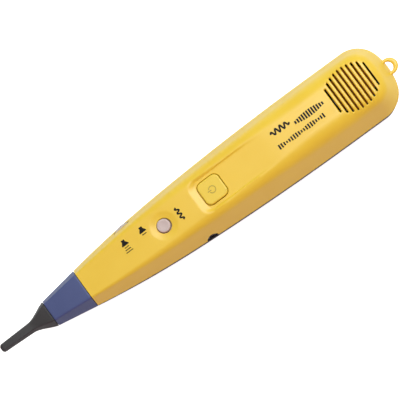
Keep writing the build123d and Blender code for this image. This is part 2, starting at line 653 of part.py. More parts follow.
def chip(x, y, length, width, pins):
    """Flat package with a row of short bent feet along each long side."""
    body_z = BOARD_TOP + 0.15
    body = block(x - length / 2, x + length / 2, y - width / 2, y + width / 2, body_z, body_z + 1.4)
    pitch = length / pins
    for i in range(pins):
        foot_x = x - length / 2 + pitch * (i + 0.5)
        for side in (-1, 1):
            y0, y1 = sorted((y + side * (width / 2 - 0.2), y + side * (width / 2 + 0.9)))
            body += block(foot_x - 0.2, foot_x + 0.2, y0, y1, BOARD_TOP, BOARD_TOP + 0.35)
    return body


def ic_chips():
    """Amplifier, filter and oscillator chips."""
    return [chip(76.0, -4.6, 5.0, 4.0, 4), chip(94.5, -5.5, 8.8, 4.0, 7), chip(119.0, 6.0, 5.0, 4.0, 4)]


def passives():
    """Small resistors and capacitors in two rows and beside the chips."""
    parts = []
    for i in range(6):
        x = 70.0 + 2.6 * i
        parts.append(block(x, x + 1.6, 1.2, 2.0, BOARD_TOP, BOARD_TOP + 0.5))
    for i in range(5):
        y = -10.8 + 1.9 * i
        parts.append(block(84.0, 85.6, y, y + 0.8, BOARD_TOP, BOARD_TOP + 0.5))
    for i in range(5):
        x = 110.0 + 2.7 * i
        parts.append(block(x, x + 1.6, 1.6, 2.4, BOARD_TOP, BOARD_TOP + 0.6))
    for y in (-6.4, 5.6):
        parts.append(block(129.8, 131.0, y, y + 0.9, BOARD_TOP, BOARD_TOP + 0.5))
    return parts


def capacitors():
    """Upright electrolytic cans on the board."""
    cans = []
    for x, y, radius, height in ((97.0, 10.0, 2.5, 6.0), (103.5, 9.0, 2.5, 6.0), (126.4, 6.6, 2.0, 5.4)):
        can = post(x, y, radius, BOARD_TOP, BOARD_TOP + height)
        cans.append(fillet(can.edges().sort_by(Axis.Z)[-1], 0.4))
    return cans


def pickup_coil():
    """Filter coil on a flanged bobbin, lying across the board behind the contact bracket."""
    z = BOARD_TOP + 2.6
    coil = rod_y(-0.4, 9.0, 2.1, 74.0, z)
    for y in (-0.8, 8.6):
        coil += rod_y(y, y + 0.8, 2.6, 74.0, z)
    return coil


def board_screws():
    """Screws that hold the board down on its pillars."""
    screws = []
    for x, y in BOARD_SCREWS:
        screw = post(x, y, 0.7, BOARD_TOP - 5.5, BOARD_TOP) + post(x, y, 1.7, BOARD_TOP, BOARD_TOP + 1.1)
        cross = block(x - 1.0, x + 1.0, y - 0.2, y + 0.2, BOARD_TOP + 0.6, BOARD_TOP + 2)
        cross += block(x - 0.2, x + 0.2, y - 1.0, y + 1.0, BOARD_TOP + 0.6, BOARD_TOP + 2)
        screws.append(screw - cross)
    return screws


# ---- speaker ----
def speaker_basket():
    """Pressed frame of the speaker, open to the front."""
    rim_bottom = SPEAKER_RIM_TOP - SPEAKER_RIM_THICK
    bowl = Pos(SPEAKER_X, 0, rim_bottom - 2.0) * Cone(7.6, 11.6, 4.0)
    hollow = Pos(SPEAKER_X, 0, rim_bottom - 1.4) * Cone(7.0, 11.4, 4.4)
    rim = post(SPEAKER_X, 0, SPEAKER_R - 0.1, rim_bottom, SPEAKER_RIM_TOP) - post(
        SPEAKER_X, 0, 11.2, rim_bottom - 1, SPEAKER_RIM_TOP + 1
    )
    tag = block(SPEAKER_X - 14.0, SPEAKER_X - 9.0, -4.2, 4.2, 5.6, 6.2)
    tag -= post(SPEAKER_X, 0, 9.0, 5.0, 7.0)
    return (bowl - hollow) + rim + tag


def speaker_magnet():
    """Round magnet on the back of the basket."""
    magnet = post(SPEAKER_X, 0, 7.0, 0.6, 4.5)
    return chamfer(magnet.edges(), 0.4)


def speaker_cone():
    """Thin cone with a small dome in the middle, in front of the basket's bowl."""
    rim_bottom = SPEAKER_RIM_TOP - SPEAKER_RIM_THICK
    outer = Pos(SPEAKER_X, 0, rim_bottom - 0.9) * Cone(6.4, 10.9, 3.0)
    inner = Pos(SPEAKER_X, 0, rim_bottom - 0.6) * Cone(6.2, 10.9, 3.0)
    cone = (outer - inner) & post(SPEAKER_X, 0, 10.9, 0, rim_bottom + 0.5)
    return cone


def speaker_gasket():
    """Soft ring between the speaker's rim and the ring rib of the front shell."""
    ring = post(SPEAKER_X, 0, SPEAKER_R - 0.1, SPEAKER_RIM_TOP, SPEAKER_RIM_TOP + 0.4)
    return ring - post(SPEAKER_X, 0, SPEAKER_R - 1.4, SPEAKER_RIM_TOP - 1, SPEAKER_RIM_TOP + 1)


def grille_cloth():
    """Dust cloth behind the grille, inside the ring rib."""
    return post(SPEAKER_X, 0, SPEAKER_R - 1.7, 12.6, 12.9)


def speaker_retainer():
    """Ring with three ears that clamps the speaker against the front shell."""
    top = SPEAKER_RIM_TOP - SPEAKER_RIM_THICK
    low = top - RETAINER_THICK
    ring = post(SPEAKER_X, 0, SPEAKER_R + 0.4, low, top)
    for x, y in RETAINER_SCREWS:
        ring += post(x, y, RETAINER_EAR_R, low, top)
        reach = math.hypot(x - SPEAKER_X, y)
        angle = math.degrees(math.atan2(y, x - SPEAKER_X))
        arm = Box(reach - SPEAKER_R + 1, 4.0, RETAINER_THICK, align=(Align.MAX, Align.CENTER, Align.MIN))
        ring += Pos(SPEAKER_X, 0, low) * Rot(0, 0, angle) * Pos(reach, 0, 0) * arm
    ring -= post(SPEAKER_X, 0, SPEAKER_R - 1.2, low - 1, top + 1)
    for x, y in RETAINER_SCREWS:
        ring -= post(x, y, RETAINER_SCREW_R + 0.1, low - 1, top + 1)
    return ring & form(WALL + 0.1)


def retainer_screws():
    """Screws through the retainer's ears."""
    screws = []
    seat = SPEAKER_RIM_TOP - SPEAKER_RIM_THICK - RETAINER_THICK
    for x, y in RETAINER_SCREWS:
        shank = post(x, y, RETAINER_SCREW_R, seat, seat + RETAINER_SCREW_LENGTH)
        screws.append(shank + post(x, y, RETAINER_HEAD_R, seat - RETAINER_HEAD_HEIGHT, seat))
    return screws


# ---- battery ----
def battery_case():
    """Rectangular nine-volt battery in its metal jacket."""
    half = BATTERY_HALF_WIDTH
    case = block(BATTERY_X0, BATTERY_X1, -half, half, BATTERY_BOTTOM, BATTERY_TOP)
    case = fillet(case.edges().filter_by(Axis.X), 2.0)
    return fillet(case.faces().sort_by(Axis.X)[-1].edges(), 0.5)


def terminal_height():
    """Height of the terminals' middle."""
    return (BATTERY_BOTTOM + BATTERY_TOP) / 2


def battery_terminals():
    """Stud and ring terminals on the battery's end."""
    z = terminal_height()
    stud = rod_x(152.4, BATTERY_X0, 2.8, -TERMINAL_Y, z)
    ring = rod_x(152.4, BATTERY_X0, 4.2, TERMINAL_Y, z) - rod_x(150, 154.4, 3.3, TERMINAL_Y, z)
    return [stud, ring]


def battery_snap():
    """Flat connector that snaps onto both terminals."""
    z = terminal_height()
    plate = block(*SNAP_X, -12.4, 12.4, z - 6.0, z + 6.0)
    plate = fillet(plate.edges().filter_by(Axis.X), 2.4)
    for y in (-TERMINAL_Y, TERMINAL_Y):
        plate -= rod_x(SNAP_X[1] - 0.8, SNAP_X[1] + 1.6, 3.0, y, z)
    return plate


def snap_contacts():
    """Ring and stud of the connector that mate with the battery's terminals."""
    z = terminal_height()
    seat = SNAP_X[1] - 0.8
    ring = rod_x(seat, 154.0, 3.7, -TERMINAL_Y, z) - rod_x(151.6, 155, 2.9, -TERMINAL_Y, z)
    ring &= rod_x(seat, SNAP_X[1], 3.0, -TERMINAL_Y, z) + rod_x(SNAP_X[1], 154.0, 5.0, -TERMINAL_Y, z)
    stud = rod_x(seat, 154.2, 2.9, TERMINAL_Y, z)
    return [ring, stud]


def lead(points, radius):
    """Insulated wire along straight runs joined by arcs as large as the runs allow."""
    radii = []
    for before, here, after in zip(points, points[1:], points[2:]):
        into = Vector(*here) - Vector(*before)
        out = Vector(*after) - Vector(*here)
        turn = math.radians(into.get_angle(out))
        radii.append(0.45 * min(into.length, out.length) / math.tan(turn / 2))
    path = FilletPolyline(*points, radius=radii)
    print("lead radii", [round(r, 1) for r in radii], "length", round(path.length, 1))
    return sweep(Plane(origin=path @ 0, z_dir=path % 0) * Circle(radius), path=path)


def mirrored_route(points):
    """The same route on the other side of the middle line."""
    return [(x, -y, z) for x, y, z in points]


def battery_foam_pad():
    """Foam block that keeps the battery from rattling."""
    return block(BATTERY_X1 + 0.15, DOOR_X1 - 0.05, -10.0, 10.0, -12.5, -2.6)


# ---- case screws ----
def case_screws():
    """Four self-tapping screws from the back, deep in the counterbores."""
    screws = []
    for x, y in CASE_SCREWS:
        screw = post(x, y, CASE_SCREW_R, CASE_HEAD_Z, CASE_SCREW_TOP)
        screw += post(x, y, CASE_SCREW_HEAD_R, CASE_HEAD_Z - 1.6, CASE_HEAD_Z)
        cross = block(x - 1.3, x + 1.3, y - 0.25, y + 0.25, CASE_HEAD_Z - 3, CASE_HEAD_Z - 0.8)
        cross += block(x - 0.25, x + 0.25, y - 1.3, y + 1.3, CASE_HEAD_Z - 3, CASE_HEAD_Z - 0.8)
        screws.append(screw - cross)
    return screws


# ---- write every node ----
def save(name, shape):
    """Move a node, or a group of solids, into the part's frame and write it."""
    if isinstance(shape, list):
        shape = Compound(children=shape)
    export_step(Pos(-LENGTH / 2, 0, BACK_DEPTH) * shape, f"parts/{name}.step")


os.makedirs("parts", exist_ok=True)
save("front_shell", front_shell())
save("back_shell", back_shell())
save("battery_door", battery_door())
save("nose_collar", nose_collar())
save("probe_tip", probe_tip())
save("antenna_rod", antenna_rod())
save("tip_set_screw", tip_set_screw())
save("contact_spring", contact_spring())
save("contact_bracket", contact_bracket())
save("power_button", power_button())
save("filter_button", filter_button())
save("power_switch_body", switch_body(POWER_X))
save("power_switch_plunger", switch_plunger(POWER_X))
save("filter_switch_body", switch_body(FILTER_X))
save("filter_switch_plunger", switch_plunger(FILTER_X))
save("volume_wheel", volume_wheel())
save("volume_pot", volume_pot())
save("headset_jack", headset_jack())
save("circuit_board", circuit_board())
save("ic_chips", ic_chips())
save("passives", passives())
save("capacitors", capacitors())
save("pickup_coil", pickup_coil())
save("board_screws", board_screws())
save("speaker_basket", speaker_basket())
save("speaker_magnet", speaker_magnet())
save("speaker_cone", speaker_cone())
save("speaker_gasket", speaker_gasket())
save("grille_cloth", grille_cloth())
save("speaker_retainer", speaker_retainer())
save("retainer_screws", retainer_screws())
save("battery_case", battery_case())
save("battery_terminals", battery_terminals())
save("battery_snap", battery_snap())
save("snap_contacts", snap_contacts())
save("battery_lead_red", lead(BATTERY_LEAD_ROUTE, BATTERY_LEAD_R))
save("battery_lead_black", lead(mirrored_route(BATTERY_LEAD_ROUTE), BATTERY_LEAD_R))
save("speaker_lead_red", lead(SPEAKER_LEAD_ROUTE, SPEAKER_LEAD_R))
save("speaker_lead_black", lead(mirrored_route(SPEAKER_LEAD_ROUTE), SPEAKER_LEAD_R))
save("battery_foam_pad", battery_foam_pad())
save("case_screws", case_screws())
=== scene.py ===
import json
import math

import bmesh
import bpy
import numpy as np
from mathutils import Matrix, Vector


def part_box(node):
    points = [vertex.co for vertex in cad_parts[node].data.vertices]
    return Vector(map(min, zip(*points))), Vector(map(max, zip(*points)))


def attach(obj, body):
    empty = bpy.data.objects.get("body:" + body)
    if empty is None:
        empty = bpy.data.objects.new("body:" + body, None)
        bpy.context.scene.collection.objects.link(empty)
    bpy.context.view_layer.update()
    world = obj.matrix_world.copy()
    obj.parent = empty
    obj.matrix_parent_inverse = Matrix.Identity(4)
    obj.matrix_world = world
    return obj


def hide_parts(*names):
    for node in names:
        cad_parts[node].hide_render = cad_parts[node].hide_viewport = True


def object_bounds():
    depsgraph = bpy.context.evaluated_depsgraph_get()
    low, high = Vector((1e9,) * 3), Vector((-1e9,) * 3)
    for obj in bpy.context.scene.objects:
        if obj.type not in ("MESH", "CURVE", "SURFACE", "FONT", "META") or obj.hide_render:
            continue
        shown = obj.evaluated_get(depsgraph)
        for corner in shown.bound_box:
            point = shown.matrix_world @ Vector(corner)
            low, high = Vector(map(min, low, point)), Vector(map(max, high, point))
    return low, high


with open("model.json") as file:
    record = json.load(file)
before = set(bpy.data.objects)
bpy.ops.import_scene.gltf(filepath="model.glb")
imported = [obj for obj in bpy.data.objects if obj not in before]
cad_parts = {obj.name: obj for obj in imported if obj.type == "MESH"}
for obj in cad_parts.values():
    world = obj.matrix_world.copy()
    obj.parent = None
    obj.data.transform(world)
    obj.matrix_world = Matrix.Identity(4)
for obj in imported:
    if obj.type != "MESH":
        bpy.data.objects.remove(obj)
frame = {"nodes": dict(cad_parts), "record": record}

cad_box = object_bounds()

# ---- millimetres here: x from the sensing tip, y across, z from the parting plane ----
MM = 0.001
TIP_END = cad_box[0].x
JACK_AT = next(m["pos_m"] for m in frame["record"]["mounts"] if m["name"] == "headset_jack")
PARTING = JACK_AT[2]        # the jack's axis lies in the parting plane


def at(x, y, z):
    """A point of the shared frame in metres, from millimetres."""
    return (TIP_END + x * MM, y * MM, PARTING + z * MM)


def node_mm(name):
    """A CAD node's lowest and highest corners in millimetres from the tip and the parting plane."""
    lo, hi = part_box(name)
    return [((v.x - TIP_END) / MM, v.y / MM, (v.z - PARTING) / MM) for v in (lo, hi)]


# ---- driving sizes of the case, in millimetres ----
WIDEST_X = 205.0
HALF_WIDTH = 20.3
SHOULDER = (110.0, 17.35)   # x and half width where the two side arcs meet
NOSE_JOINT = 53.2
NOSE_HALF_WIDTH = 11.05
TIP_JOINT = 31.2
BODY_END = 243.8
CORNER_R = 15.0
DOME_R = 34.0               # the end wall, seen from the front
FRONT_DEPTH = 15.6
FRONT_CREST_X = 195.0
FRONT_ARC_R = 1316.0
BACK_DEPTH = 17.4
BACK_FLAT_X = 115.0
BACK_ARC_R = 305.0
FRONT_DRAFT = math.radians(24.5)
BACK_DRAFT = math.radians(8.0)
BACK_EDGE_R = 5.0
WALL = 2.0
SEAM_HALF = 0.15
SEAM_DEEP = 0.35
JOINT_GAP = 0.3
LEAST_EDGE_R = 0.4

# the edge between face and walls: its radius at the nose, then (what is added, start, run)
EDGE_R_NOSE = 1.2
EDGE_R_GRIP = (5.2, 40.0, 110.0)
EDGE_R_PALM = (3.2, 150.0, 50.0)
EDGE_R_END = (0.7, 212.0, 16.0)     # the share of the palm's radius that is lost at the end

FILTER_X = 104.0
FILTER_HOLE_R = 3.95
FILTER_HOLE_SHIFT = (0.2, -0.15)
DISH_R = 7.3
DISH_DEPTH = 0.95
DISH_SPREAD = 14.0
POWER_X = 134.7
POWER_HOLE = 13.5
POWER_CORNER = 3.3
RECESS_START = (127.6, 12.72)       # x and height of the recess floor
RECESS_END = (176.0, 15.64)
RECESS_SPAN = (112.0, 186.0)
RECESS_HALF = 8.4
RECESS_CORNER = 3.4
RECESS_NOSE_SLOPE = 2.88
RECESS_SIDE_SLOPE = 0.85
SOFT_FOOT = 0.16                    # rounding where a sunk form leaves its floor
SOFT_BROW = 0.12                    # rounding where the recess meets the face
CROWN = 0.3
CROWN_HALF = 6.8
CROWN_START = 165.0
CROWN_RUN = 40.0

SPEAKER_X = 222.2
GRILLE_SLOTS = 10
GRILLE_PITCH = 2.65
GRILLE_HALF = 12.0
GRILLE_REACH = 15.0
SLOT_HALF_WIDTH = 0.52
SLOT_RIM = 0.55
SLOT_CUTTER_RISE = 2.5
POWER_RIM = 0.3
FILTER_RIM = 0.25
KEY_CUTTER_RISE = 0.6
CUTTER_DEPTH = 5.0
WHEEL_GAP = (0.4, 0.35)             # round the wheel, above and below it
JACK_HOLE = [(3.3, -30.0), (3.3, -17.4), (2.95, -16.9), (2.95, -10.0)]  # (radius, y)

LOOP_CENTRE = (3.8, 3.62)
LOOP_Z = 1.2
LOOP_SWEEP = 112.0                  # degrees each way from its far end
LOOP_HALF_HEIGHT = 0.98
LOOP_HALF_WIDTH = (0.88, 0.52)      # at its feet, and what is added at its far end
LOOP_ROUNDING = 0.8                 # below 1 makes its section squarer than an ellipse

# ---- the outline: the corner at the far end, the two side arcs and the straight nose ----
DOME_X = BODY_END - DOME_R
CORNER_Y = HALF_WIDTH - CORNER_R
CORNER_START = DOME_X + math.sqrt((DOME_R - CORNER_R) ** 2 - CORNER_Y**2)
_to_shoulder = np.array(SHOULDER) - np.array((WIDEST_X, HALF_WIDTH))
REAR_R = -(_to_shoulder @ _to_shoulder) / (2 * _to_shoulder[1])
REAR_C = np.array((WIDEST_X, HALF_WIDTH - REAR_R))
_slope = (WIDEST_X - SHOULDER[0]) / (SHOULDER[1] - REAR_C[1])
_to_nose = np.array((NOSE_JOINT, NOSE_HALF_WIDTH)) - np.array(SHOULDER)
_inwards = np.array((_slope, -1.0)) / math.hypot(_slope, 1.0)
MID_R = (_to_nose @ _to_nose) / (2 * _to_nose @ _inwards)
MID_C = np.array(SHOULDER) + _inwards * MID_R
NOSE_SLOPE = (MID_C[0] - NOSE_JOINT) / (NOSE_HALF_WIDTH - MID_C[1])


def half_width(x):
    """Half width of the wand at the parting plane and the slope of its outline."""
    if x < NOSE_JOINT:
        return NOSE_HALF_WIDTH + NOSE_SLOPE * (x - NOSE_JOINT), NOSE_SLOPE
    if x < SHOULDER[0]:
        c, r = MID_C, MID_R
    elif x < WIDEST_X:
        c, r = REAR_C, REAR_R
    else:
        return HALF_WIDTH, 0.0
    rise = math.sqrt(r * r - (x - c[0]) ** 2)
    return c[1] + rise, -(x - c[0]) / rise


def front_height(x):
    """Height of the front face on the middle line, without what is sunk into it."""
    return FRONT_DEPTH - (FRONT_ARC_R - math.sqrt(FRONT_ARC_R**2 - (x - FRONT_CREST_X) ** 2))


def back_depth(x):
    """Depth of the back, flat behind BACK_FLAT_X and rising towards the nose."""
    reach = max(BACK_FLAT_X - x, 0.0)
    return BACK_DEPTH - (BACK_ARC_R - math.sqrt(BACK_ARC_R**2 - reach**2))


def smooth(t):
    """0 below 0, 1 above 1, and a smooth rise between."""
    t = min(max(t, 0.0), 1.0)
    return t * t * (3 - 2 * t)


def front_edge_radius(x):
    """The edge between the face and the walls: crisp at the nose, soft over the palm."""
    grip, palm, end = (
        smooth((x - start) / run) for _, start, run in (EDGE_R_GRIP, EDGE_R_PALM, EDGE_R_END)
    )
    return EDGE_R_NOSE + EDGE_R_GRIP[0] * grip + EDGE_R_PALM[0] * (palm - EDGE_R_END[0] * end)


def back_edge_radius(x):
    """The edge between the back and its walls, smaller where the nose end gets shallow."""
    return min(BACK_EDGE_R, 0.8 * back_depth(x))


def outline_stations(xs):
    """Stations along one side: x, y, and the step inwards, which stays in the section's plane."""
    stations = []
    for x in xs:
        y, slope = half_width(x)
        stations.append((x, y, 0.0, -math.hypot(slope, 1.0)))
    return stations


def end_stations():
    """Stations round the corner and the dome to the middle line, stepping in along the normal."""
    touch = math.atan2(CORNER_Y, CORNER_START - DOME_X)
    corner_steps, dome_steps = 25, 12
    arcs = []
    for i in range(corner_steps + 1):
        a = math.pi / 2 + (touch - math.pi / 2) * i / corner_steps
        arcs.append((CORNER_START, CORNER_Y, CORNER_R, a))
    for i in range(1, dome_steps + 1):
        arcs.append((DOME_X, 0.0, DOME_R, touch * (1 - i / dome_steps)))
    return [
        (cx + r * math.cos(a), cy + r * math.sin(a), -math.cos(a), -math.sin(a))
        for cx, cy, r, a in arcs
    ]


def wall_profile(x, nx, height, draft, radius, foot, wall_steps=6, edge_steps=10):
    """(inward distance, height) up a drafted wall and round its edge, ending on the flat face."""
    h = height(x)
    for _ in range(3):      # the face slopes, so its height at the edge takes a few rounds
        h = height(x + nx * (h * math.tan(draft) + radius * 0.6))
    corner = h * math.tan(draft)
    reach = radius * (1 - math.sin(draft)) / math.cos(draft)
    centre = (corner + reach, h - radius)
    top = h - reach * math.cos(draft)
    start = foot[-1][1]
    points = list(foot)
    for i in range(1, wall_steps + 1):
        z = start + (top - start) * i / wall_steps
        points.append((z * math.tan(draft), z))
    for i in range(1, edge_steps + 1):
        a = math.pi - draft + (draft - math.pi / 2) * i / edge_steps
        points.append((centre[0] + radius * math.cos(a), centre[1] + radius * math.sin(a)))
    return points


# ---- the front face with what is sunk into it ----
def soft_positive(t, k):
    """t where it is above 0 and about 0 below, rounded over k."""
    return 0.5 * (t + math.sqrt(t * t + k * k))


def front_surface(x, y):
    """Height of the front face, with the crown, the dish round the small key and the recess."""
    z = front_height(x)
    if x > CROWN_START and abs(y) < CROWN_HALF:
        z += CROWN * smooth((x - CROWN_START) / CROWN_RUN) * (1 - (y / CROWN_HALF) ** 2) ** 2
    r = math.hypot(x - FILTER_X, y)
    if r < DISH_SPREAD:
        z -= DISH_DEPTH * soft_positive(1.0 - (r / DISH_R) ** 2, SOFT_FOOT)
    if RECESS_SPAN[0] < x < RECESS_SPAN[1]:
        slope = (RECESS_END[1] - RECESS_START[1]) / (RECESS_END[0] - RECESS_START[0])
        floor = RECESS_START[1] + slope * (x - RECESS_START[0])
        a = max(RECESS_START[0] + RECESS_CORNER - x, 0.0)
        b = max(abs(y) - (RECESS_HALF - RECESS_CORNER), 0.0)
        reach = math.hypot(a, b)
        spread = RECESS_SIDE_SLOPE
        if reach > 0:
            spread = math.hypot(RECESS_NOSE_SLOPE * a / reach, RECESS_SIDE_SLOPE * b / reach)
        tray = floor + soft_positive((reach - RECESS_CORNER) / spread, SOFT_FOOT)
        z = z - soft_positive(z - tray, SOFT_BROW)
    return z


def face_height(x, y):
    """Height of the front face where it rounds off towards the side walls."""
    z = front_surface(x, y)
    outline_y = half_width(x)[0]
    if x > CORNER_START:
        outline_y = CORNER_Y + math.sqrt(max(CORNER_R**2 - (x - CORNER_START) ** 2, 0.0))
    r = front_edge_radius(x)
    wall_top = outline_y - z * math.tan(FRONT_DRAFT)
    flat = wall_top - r * (1 - math.sin(FRONT_DRAFT)) / math.cos(FRONT_DRAFT)
    over = min(max(abs(y) - flat, 0.0), r)
    return z - r + math.sqrt(r * r - over * over)


# ---- mesh helpers ----
FLAT_STEPS = 12             # across the flat of a section
CASE_COLUMNS = 60           # across the front face
EDGE_POINTS = 5             # of the wall's edge, that follow the face with its sunk forms
SHARP_ANGLE = 35.0          # degrees
WELD = 2e-6                 # metres


def section(x, inset=0.0):
    """Closed flat section of the wand: (y, z) round the front half and then the back half."""
    halves = []
    for height, draft, radius in (
        (front_height, FRONT_DRAFT, front_edge_radius(x)),
        (back_depth, BACK_DRAFT, back_edge_radius(x)),
    ):
        y, slope = half_width(x)
        step = math.hypot(slope, 1.0)
        r = max(radius - inset, LEAST_EDGE_R)
        side = wall_profile(x, 0.0, lambda v: height(v) - inset, draft, r, [(0.0, 0.0)])
        points = [(y - (d + inset) * step, z) for d, z in side]
        edge_y, edge_z = points[-1]
        flat = [(edge_y * (1 - 2 * i / FLAT_STEPS), edge_z) for i in range(1, FLAT_STEPS)]
        halves.append(points + flat + [(-py, pz) for py, pz in reversed(points)])
    front, back = halves
    return front[:-1] + [(-py, -pz) for py, pz in back[:-1]]


def rows_at(stations):
    """Rows of points for (x, loop) pairs."""
    return [[(x, y, z) for y, z in loop] for x, loop in stations]


def finish_mesh(name, b, slot, angle=SHARP_ANGLE, look=None):
    """A visible piece of the root body from a builder, in its slot's look or another one."""
    mesh = bpy.data.meshes.new(name)
    mesh.from_pydata([at(*v) for v in b.verts], [], b.faces)
    mesh.validate()
    obj = bpy.data.objects.new(name, mesh)
    bpy.context.scene.collection.objects.link(obj)
    tidy(obj, angle)
    mesh.materials.append(look or SLOT_LOOKS[slot])
    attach(obj, "root")
    return obj


def tidy(obj, angle=SHARP_ANGLE):
    """Weld, drop zero-area faces, point the normals outwards and shade smooth up to an angle."""
    bm = bmesh.new()
    bm.from_mesh(obj.data)
    bmesh.ops.remove_doubles(bm, verts=bm.verts, dist=WELD)
    bmesh.ops.dissolve_degenerate(bm, edges=bm.edges, dist=WELD / 2)
    bmesh.ops.recalc_face_normals(bm, faces=bm.faces)
    bm.to_mesh(obj.data)
    bm.free()
    obj.data.shade_smooth()
    obj.data.set_sharp_from_angle(angle=math.radians(angle))


class Builder:
    """Collects points, in millimetres, and faces."""

    def __init__(self):
        self.verts, self.faces = [], []

    def grid(self, rows, closed=False):
        """Quads between rows of equal length."""
        base = len(self.verts)
        n = len(rows[0])
        for row in rows:
            self.verts.extend(row)
        for i in range(len(rows) - 1):
            for j in range(n if closed else n - 1):
                k = (j + 1) % n
                a, b = base + i * n + j, base + i * n + k
                self.faces.append((a, b, b + n, a + n))

    def fan(self, ring, centre):
        """Triangles from a closed ring to a middle point."""
        base = len(self.verts)
        self.verts.extend(ring)
        self.verts.append(centre)
        n = len(ring)
        for j in range(n):
            self.faces.append((base + j, base + (j + 1) % n, base + n))


def steps(start, stop, size):
    """Even steps of about one size from a start, leaving out the stop."""
    count = max(int(round((stop - start) / size)), 1)
    return [start + (stop - start) * i / count for i in range(count)]


def shell_rows(stations, height, draft, radius, foot, surface=None, inset=0.0):
    """Rows right across the case: up one wall, over the face and down the other."""
    rows = []
    for x, y, nx, ny in stations:
        r = max(radius(x) - inset, LEAST_EDGE_R)
        side = wall_profile(x + nx * inset, nx, lambda v: height(v) - inset, draft, r, foot)
        left = [(x + nx * (d + inset), y + ny * (d + inset), z) for d, z in side]
        cx, cy, cz = left[-1]
        row = list(left)
        for j in range(1, CASE_COLUMNS):
            row.append((cx, cy * (1 - 2 * j / CASE_COLUMNS), cz))
        row += [(px, -py, pz) for px, py, pz in reversed(left)]
        if surface:
            edge = len(left) - EDGE_POINTS
            for j in range(edge, len(row) - edge):
                px, py, pz = row[j]
                row[j] = (px, py, pz + surface(px, py) - front_height(px))
        rows.append(row)
    return rows


def half_case(stations, height, draft, radius, surface):
    """A closed wall of even thickness with a seam groove along its foot."""
    seam = [(SEAM_DEEP, 0.0), (SEAM_DEEP, SEAM_HALF * 0.8)]
    seam += [(0.05, SEAM_HALF), (0.1, SEAM_HALF * 1.5)]
    inner_foot = [(0.0, 0.0)] * len(seam)
    outer = shell_rows(stations, height, draft, radius, seam, surface)
    inner = shell_rows(stations, height, draft, radius, inner_foot, None, WALL)
    b = Builder()
    b.grid(outer)
    b.grid(inner)
    for j in (0, -1):
        b.grid([[row[j] for row in outer], [row[j] for row in inner]])
    b.grid([outer[0], inner[0]])
    return b


def cut(obj, cutters):
    """Takes closed cutter pieces out of a closed piece and removes the cutters."""
    for c in cutters:
        modifier = obj.modifiers.new("cut", "BOOLEAN")
        modifier.operation = "DIFFERENCE"
        modifier.solver = "EXACT"
        modifier.object = c
    graph = bpy.context.evaluated_depsgraph_get()
    mesh = bpy.data.meshes.new_from_object(obj.evaluated_get(graph))
    old = obj.data
    obj.modifiers.clear()
    obj.data = mesh
    bpy.data.meshes.remove(old)
    for c in cutters:
        bpy.data.objects.remove(c)


def stadium(half_length, half_width, count=8):
    """Outline along y with round ends and points every millimetre along its sides."""
    straight = half_length - half_width
    pieces = max(int(round(2 * straight)), 1)
    points = []
    for sign in (1, -1):
        for i in range(count + 1):
            a = math.pi * i / count
            along = straight + half_width * math.sin(a)
            points.append((sign * half_width * math.cos(a), sign * along))
        for i in range(1, pieces):
            points.append((-sign * half_width, sign * straight * (1 - 2 * i / pieces)))
    return points


def rounded_square(size, radius, count=8):
    """Square outline with round corners."""
    points = []
    for k in range(4):
        for i in range(count + 1):
            a = math.pi / 2 * (k + i / count)
            cx = (size / 2 - radius) * (1 if k in (0, 3) else -1)
            cy = (size / 2 - radius) * (1 if k in (0, 1) else -1)
            points.append((cx + radius * math.cos(a), cy + radius * math.sin(a)))
    return points


def circle(radius, count=48):
    """Round outline."""
    turns = [2 * math.pi * i / count for i in range(count)]
    return [(radius * math.cos(a), radius * math.sin(a)) for a in turns]


def grown(points, amount):
    """A convex outline moved outwards along its own normals."""
    n = len(points)
    out = []
    for i, p in enumerate(points):
        a, c = points[i - 1], points[(i + 1) % n]
        tx, ty = c[0] - a[0], c[1] - a[1]
        length = math.hypot(tx, ty) or 1.0
        out.append((p[0] + ty / length * amount, p[1] - tx / length * amount))
    return out


def hole_cutter(name, x, y, outline, surface, rim, rise=KEY_CUTTER_RISE):
    """Closed cutter for a hole with a rounded rim that follows the surface round it."""
    levels = [(0.0, -CUTTER_DEPTH)]
    for i in range(5):
        a = math.pi / 2 * i / 4
        levels.append((rim * (1 - math.cos(a)), -rim * (1 - math.sin(a))))
    levels.append((rim + 0.02, rise))
    rings = []
    for amount, dz in levels:
        ring = []
        for px, py in grown(outline, amount):
            base = surface(x + px, y + py)
            ring.append((x + px, y + py, base + dz))
        rings.append(ring)
    b = Builder()
    b.grid(rings, closed=True)
    b.fan(rings[0], (x, y, surface(x, y) - CUTTER_DEPTH))
    b.fan(rings[-1], (x, y, surface(x, y) + rise))
    return raw_piece(name, b)


def raw_piece(name, b):
    """A cutter from a builder."""
    mesh = bpy.data.meshes.new(name)
    mesh.from_pydata([at(*v) for v in b.verts], [], b.faces)
    obj = bpy.data.objects.new(name, mesh)
    bpy.context.scene.collection.objects.link(obj)
    tidy(obj)
    return obj


def turned(levels, count=64, centre=(0.0, 0.0), axis="z"):
    """Closed solid of revolution from (radius, height) pairs, about z or along y."""
    b = Builder()
    rings = []
    for radius, h in levels:
        ring = []
        for i in range(count):
            a = 2 * math.pi * i / count
            u, v = radius * math.cos(a), radius * math.sin(a)
            if axis == "z":
                ring.append((centre[0] + u, centre[1] + v, h))
            else:
                ring.append((centre[0] + u, h, centre[1] + v))
        rings.append(ring)
    b.grid(rings, closed=True)
    for ring, (radius, h) in ((rings[0], levels[0]), (rings[-1], levels[-1])):
        middle = (centre[0], centre[1], h) if axis == "z" else (centre[0], h, centre[1])
        b.fan(ring, middle)
    return b


# ---- materials ----
GRAIN_DEPTH = 0.00003       # metres
DRAWN_GRAIN = 900.0


def srgb(r, g, b):
    """Linear colour from display values."""
    def one(c):
        c /= 255.0
        return c / 12.92 if c <= 0.04045 else ((c + 0.055) / 1.055) ** 2.4

    return (one(r), one(g), one(b), 1.0)


